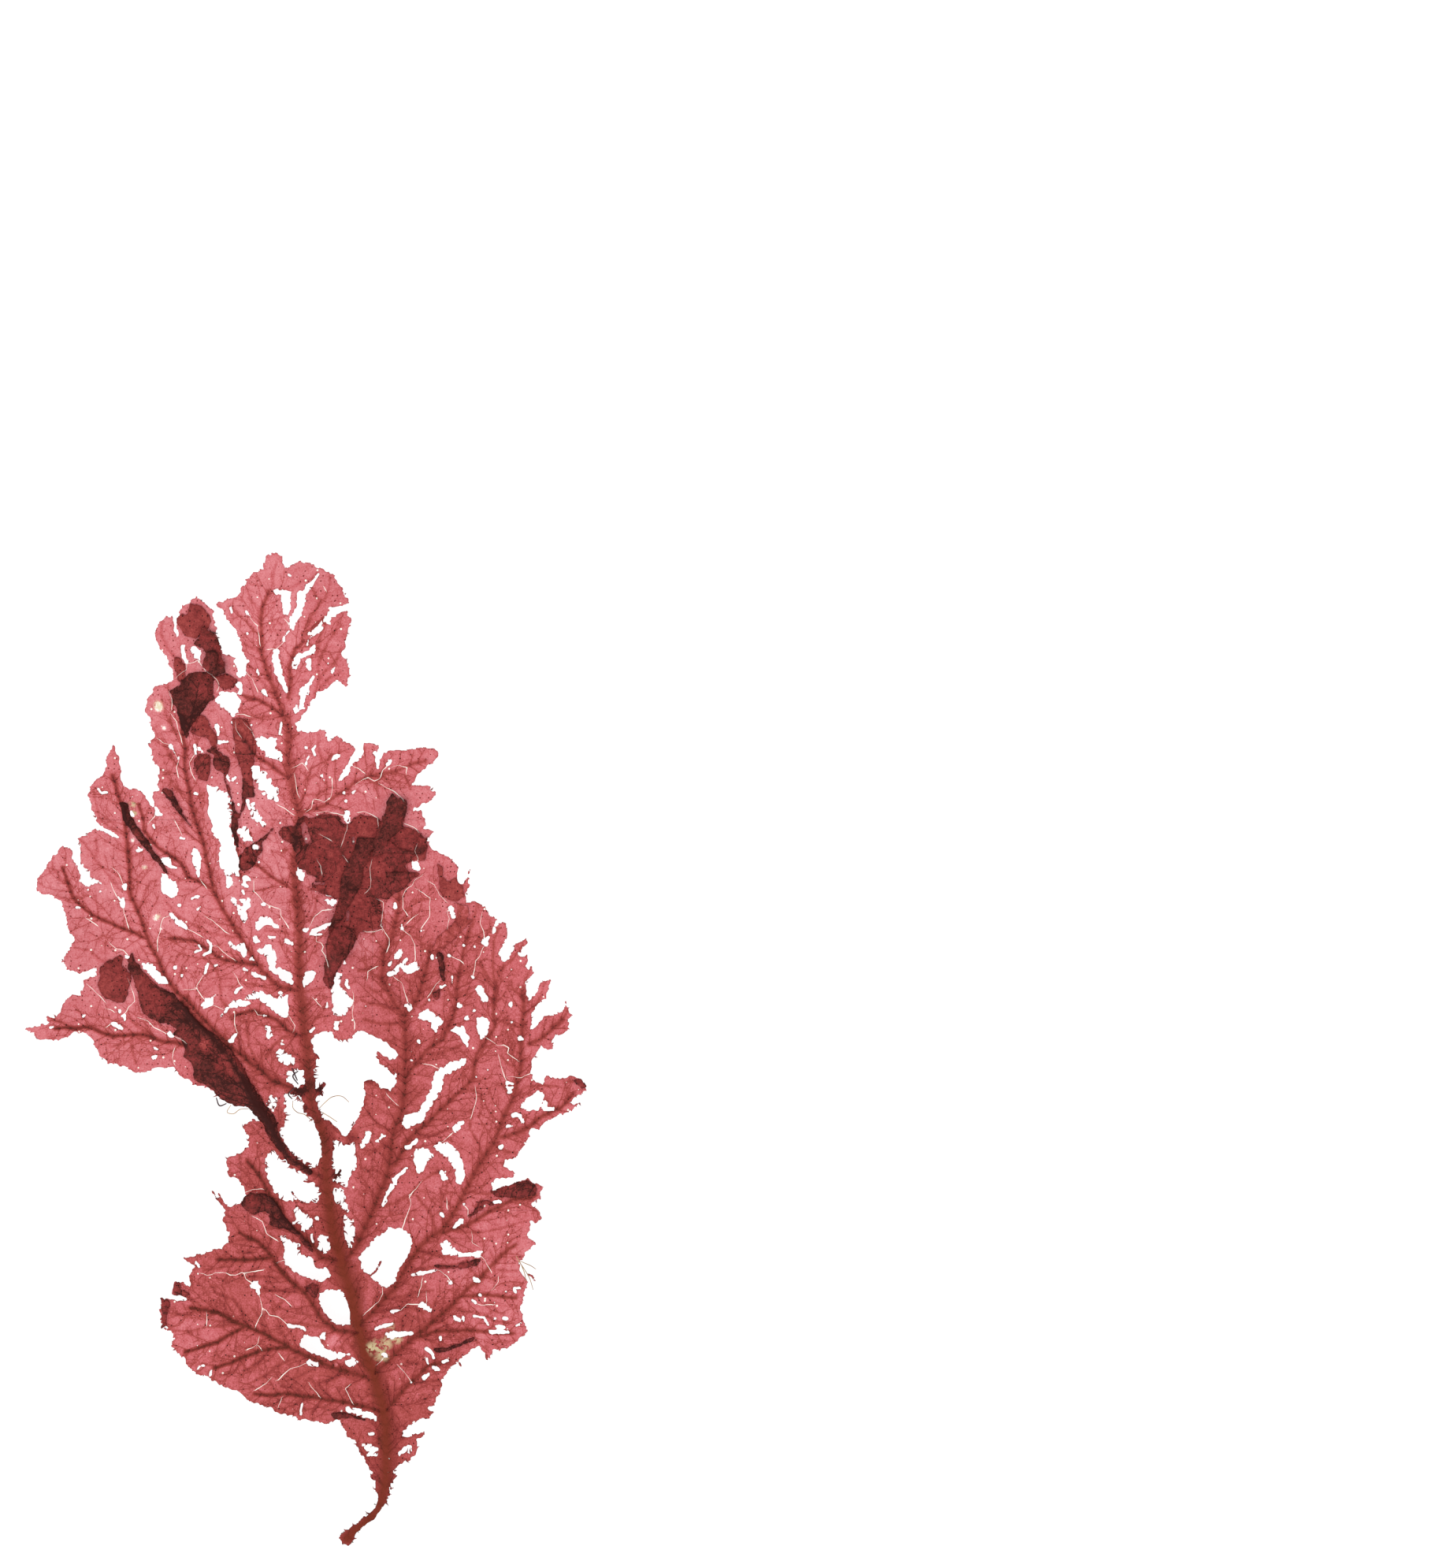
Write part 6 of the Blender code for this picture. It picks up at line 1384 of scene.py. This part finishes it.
class SEAWEED_OT_overlying_blades(bpy.types.Operator):
    """Lay the blades that are folded back or lie on others over the sheet"""
    bl_idname = "seaweed.overlying_blades"
    bl_label = "Overlying blades"

    def execute(self, context):
        fields = survey()
        shape = context.scene.seaweed_shape
        gap, membrane = shape.layer_gap / MM, shape.membrane / MM
        windows = lines_of((half, half, *path) for half, *path in WINDOWS)
        material = frond_material("folded_membrane", 0.55, 0.2)
        for turn, (name, (layer, pigment, *outline)) in enumerate(OVERLYING.items()):
            part, cells = window(fields.grid, outline)
            room = room_within(part, lines_of([(1.0, 1.0, *outline, *outline[:2])]))
            holes = nearest_line(part, windows, TEAR_REACH)
            keep = np.minimum(room + uneven(part, "layer_edge", turn),
                              holes.gap - holes.width * (1.0 + uneven(part, "window")))
            puff = 1.0 - np.exp(-np.clip(room, 0.0, None) / PUFF_REACH)
            lift = LAYER_REST + gap * puff * (PUFF_HEIGHT + uneven(part, "layer_puff", turn))
            under = fields.top[cells] + lift + layer * (gap + membrane + LAYER_STEP)
            rim = np.clip(1.0 - room / LAYER_RIM_WIDTH, 0.0, 1.0)
            shown = fields.pigment[cells] - fields.tone[cells]
            tone = (pigment + SHOW_THROUGH * shown + LAYER_RIM_PIGMENT * rim
                    + uneven(part, "layer_tone", turn))
            below = [SimpleNamespace(**{key: field[cells] for key, field in vars(lines).items()})
                     for lines in (fields.veins, fields.cracks)]
            none = np.zeros(room.shape)
            values = sheet_values(spotted(part, tone, LAYER_SPOTS), none, none, *below, crack_share=0.5)
            everywhere = np.ones((room.shape[0] - 1, room.shape[1] - 1), dtype=bool)
            placed(sheet_mesh(name, part, keep, everywhere, under, under + membrane, values), material)
        return {"FINISHED"}


class SEAWEED_OT_spurs(bpy.types.Operator):
    """Set short spurs along the ragged margins, and longer ones by the bare midrib"""
    bl_idname = "seaweed.spurs"
    bl_label = "Spurs of the margin"

    def execute(self, context):
        fields = survey()
        generator = np.random.default_rng(SPUR_SEED)
        start, end = fields.lines[:, :2], fields.lines[:, 2:4]
        middle, along = (start + end) / 2.0, end - start
        length = np.hypot(*along.T)
        often, long = np.zeros(len(start)), np.zeros(len(start))
        for x, y, half_x, half_y, rate, size in reversed(SPUR_PLACES):
            here = (np.abs(middle[:, 0] - x) < half_x) & (np.abs(middle[:, 1] - y) < half_y)
            often, long = np.where(here, rate, often), np.where(here, size, long)
        picked = np.repeat(np.arange(len(start)), generator.poisson(often * length))
        place = start[picked] + generator.random((len(picked), 1)) * along[picked]
        outward = outward_of(fields, place, along[picked] / length[picked, None])
        heading = np.arctan2(outward[:, 1], outward[:, 0]) + generator.normal(0.0, 0.45, len(picked))
        reach = (long[picked] * generator.uniform(0.35, 1.15, len(picked)))[:, None]
        bend = generator.normal(0.0, 0.5, len(picked))
        share = np.linspace(-0.3, 1.0, 5)
        angle = heading[:, None] + bend[:, None] * np.clip(share, 0, 1)
        flat = place[:, None, :] + (reach * share)[..., None] * np.dstack([np.cos(angle), np.sin(angle)])
        height = resting_height(flat[..., 0], flat[..., 1]) + SPUR_HEIGHT
        radii = np.clip(1.0 - share, 0.15, 1.0) * (SPUR_HALF_WIDTH + SPUR_GIRTH * reach)
        mesh = mesh_from_arrays("margin_spurs", *tubes(np.dstack([flat, height]), radii))
        placed(mesh, plain_material("spur_tissue"))
        return {"FINISHED"}


def outward_of(fields, place, unit):
    """The direction across each margin line that leads off the plant."""
    across = np.column_stack([-unit[:, 1], unit[:, 0]])
    cell = cell_of(fields.grid, *(place + 0.25 * across).T)
    return np.where(fields.room[cell][:, None] > 0, -across, across)


class SEAWEED_OT_threads(bpy.types.Operator):
    """Lay the fine threads that cling to the plant"""
    bl_idname = "seaweed.threads"
    bl_label = "Clinging threads"

    def execute(self, context):
        for name, paths, radius in (("tan_thread", TAN_THREADS, 0.055), ("dark_thread", DARK_THREADS, 0.1)):
            corners, triangles = tubes(*threads_on_sheet(survey(), paths, radius), sides=6)
            placed(mesh_from_arrays(f"{name}s", corners, triangles), plain_material(name), tissue=False)
        return {"FINISHED"}


class SEAWEED_OT_holdfast(bpy.types.Operator):
    """Shape the holdfast's knob at the foot of the stipe, with the grit that it grips"""
    bl_idname = "seaweed.holdfast"
    bl_label = "Holdfast and grit"

    def execute(self, context):
        around, up = np.meshgrid(np.linspace(0, 2 * math.pi, 48, endpoint=False),
                                 np.linspace(0.04, math.pi - 0.04, 24))
        radius = (1.0 + 0.14 * np.sin(3 * around + 1.0) * np.sin(up) + 0.10 * np.sin(5 * around + 4 * up)
                  + 0.08 * np.sin(9 * around - 5 * up))
        ball = np.dstack([np.sin(up) * np.cos(around), np.sin(up) * np.sin(around), np.cos(up)])
        shell = radius[..., None] * ball
        shell[..., 2] = np.maximum(shell[..., 2], -1.0)
        centre, half = np.array(KNOB_CENTRE), np.array(KNOB_HALF_SIZES)
        number = np.arange(up.size).reshape(up.shape)
        triangles = np.vstack([band(number)[:, ::-1], fan(number[0]), fan(number[-1][::-1])])
        mesh = mesh_from_arrays("holdfast", within_box(centre + half * shell), triangles)
        placed(mesh, plain_material("holdfast_tissue"))
        placed(grit_mesh(), plain_material("grit"), tissue=False)
        return {"FINISHED"}


def grit_mesh():
    """Angular grains: octahedra of unlike sizes and turns, pressed into the holdfast and along the stipe."""
    generator = np.random.default_rng(GRIT_SEED)
    at_foot = np.array(FOOT_GRIT_CENTRE) + generator.normal(0.0, 0.45, (FOOT_GRAINS, 2))
    stipe = resampled(AXIS_RIBS[0][2:2 + 2 * STIPE_POINTS], 20)
    along = stipe[generator.integers(0, 20, STIPE_GRAINS)] + generator.normal(0.0, 0.45, (STIPE_GRAINS, 2))
    flat = np.vstack([at_foot, along])
    flat[:, 1] = np.maximum(flat[:, 1], CAD_BOX[0][1] / MM + 0.2)
    count = len(flat)
    size = generator.uniform(0.06, 0.2, count)
    height = np.concatenate([generator.uniform(0.15, 1.05, FOOT_GRAINS),
                             generator.uniform(0.15, 1.0, STIPE_GRAINS)])
    tips = np.array([(1, 0, 0), (0, 1, 0), (-1, 0, 0), (0, -1, 0), (0, 0, 1), (0, 0, -1)], dtype=float)
    tips = tips * generator.uniform(0.6, 1.2, (count, 6, 1)) + generator.normal(0, 0.15, (count, 6, 3))
    centres = np.column_stack([flat, np.maximum(height, size)])
    corners = within_box(centres[:, None, :] + size[:, None, None] * tips)
    faces = np.array([(0, 1, 4), (1, 2, 4), (2, 3, 4), (3, 0, 4), (1, 0, 5), (2, 1, 5), (3, 2, 5), (0, 3, 5)])
    triangles = (np.arange(count)[:, None, None] * 6 + faces).reshape(-1, 3)
    return mesh_from_arrays("grit", corners, triangles, smooth=False)


class SEAWEED_OT_stage(bpy.types.Operator):
    """Set the white floor, the soft light and the camera straight above"""
    bl_idname = "seaweed.stage"
    bl_label = "Stage"

    def execute(self, context):
        scene, look = context.scene, context.scene.seaweed_stage
        mesh = bpy.data.meshes.new("floor")
        half = 2.0
        mesh.from_pydata([(-half, -half, 0), (half, -half, 0), (half, half, 0), (-half, half, 0)], [],
                         [(0, 1, 2, 3)])
        paper, _, inputs = new_material("floor_white", 0.9)
        inputs["Base Color"].default_value = (*look.floor, 1.0)
        inputs["Specular IOR Level"].default_value = 0.1
        inputs["Emission Color"].default_value = (1.0, 1.0, 1.0, 1.0)
        inputs["Emission Strength"].default_value = look.glow
        mesh.materials.append(paper)
        scene.world = bpy.data.worlds.new("studio")
        scene.world.use_nodes = True
        sky = scene.world.node_tree.nodes["Background"].inputs
        sky["Strength"].default_value = look.sky
        sky["Color"].default_value = (1.0, 1.0, 1.0, 1.0)
        lamp = bpy.data.lights.new("soft_sun", "SUN")
        lamp.energy, lamp.angle = look.lamp, math.radians(50.0)
        lens = bpy.data.cameras.new("camera")
        lens.lens = look.lens
        lens.clip_start, lens.clip_end = 0.05, 20.0
        floor, sun, camera = (bpy.data.objects.new(data.name, data) for data in (mesh, lamp, lens))
        for made in (floor, sun, camera):
            scene.collection.objects.link(made)
        sun.rotation_euler = (math.radians(24.0), math.radians(-20.0), 0.0)
        away = PHOTO_TALL * MM * look.lens / lens.sensor_width
        camera.location = (PHOTO_CENTRE[0] * MM, PHOTO_CENTRE[1] * MM, away)
        scene.camera = camera
        scene.view_settings.view_transform = "Standard"
        return {"FINISHED"}


class SEAWEED_PT_panel(bpy.types.Panel):
    """The seaweed's pieces and settings"""
    bl_label = "Red seaweed"
    bl_space_type = "VIEW_3D"
    bl_region_type = "UI"
    bl_category = "Seaweed"

    def draw(self, context):
        for operator in OPERATORS:
            self.layout.operator(operator.bl_idname)
        for label in GROUPS:
            group, box = getattr(context.scene, label), self.layout.box()
            for key in group.__annotations__:
                box.prop(group, key)


OPERATORS = (SEAWEED_OT_blades, SEAWEED_OT_overlying_blades, SEAWEED_OT_spurs, SEAWEED_OT_threads,
             SEAWEED_OT_holdfast, SEAWEED_OT_stage)
GROUPS = {"seaweed_shape": FrondShape, "seaweed_colours": FrondColours, "seaweed_stage": StageLook}


def register():
    """Makes the settings, the operators and the panel known to Blender."""
    for label, group in GROUPS.items():
        bpy.utils.register_class(group)
        setattr(bpy.types.Scene, label, PointerProperty(type=group))
    for made in (*OPERATORS, SEAWEED_PT_panel):
        bpy.utils.register_class(made)


def unregister():
    """Takes them out again."""
    for made in (SEAWEED_PT_panel, *reversed(OPERATORS)):
        bpy.utils.unregister_class(made)
    for label, group in reversed(GROUPS.items()):
        delattr(bpy.types.Scene, label)
        bpy.utils.unregister_class(group)


def main():
    """Builds every piece and the stage."""
    register()
    for operator in OPERATORS:
        area, name = operator.bl_idname.split(".")
        getattr(getattr(bpy.ops, area), name)()


if __name__ == "__main__":
    main()
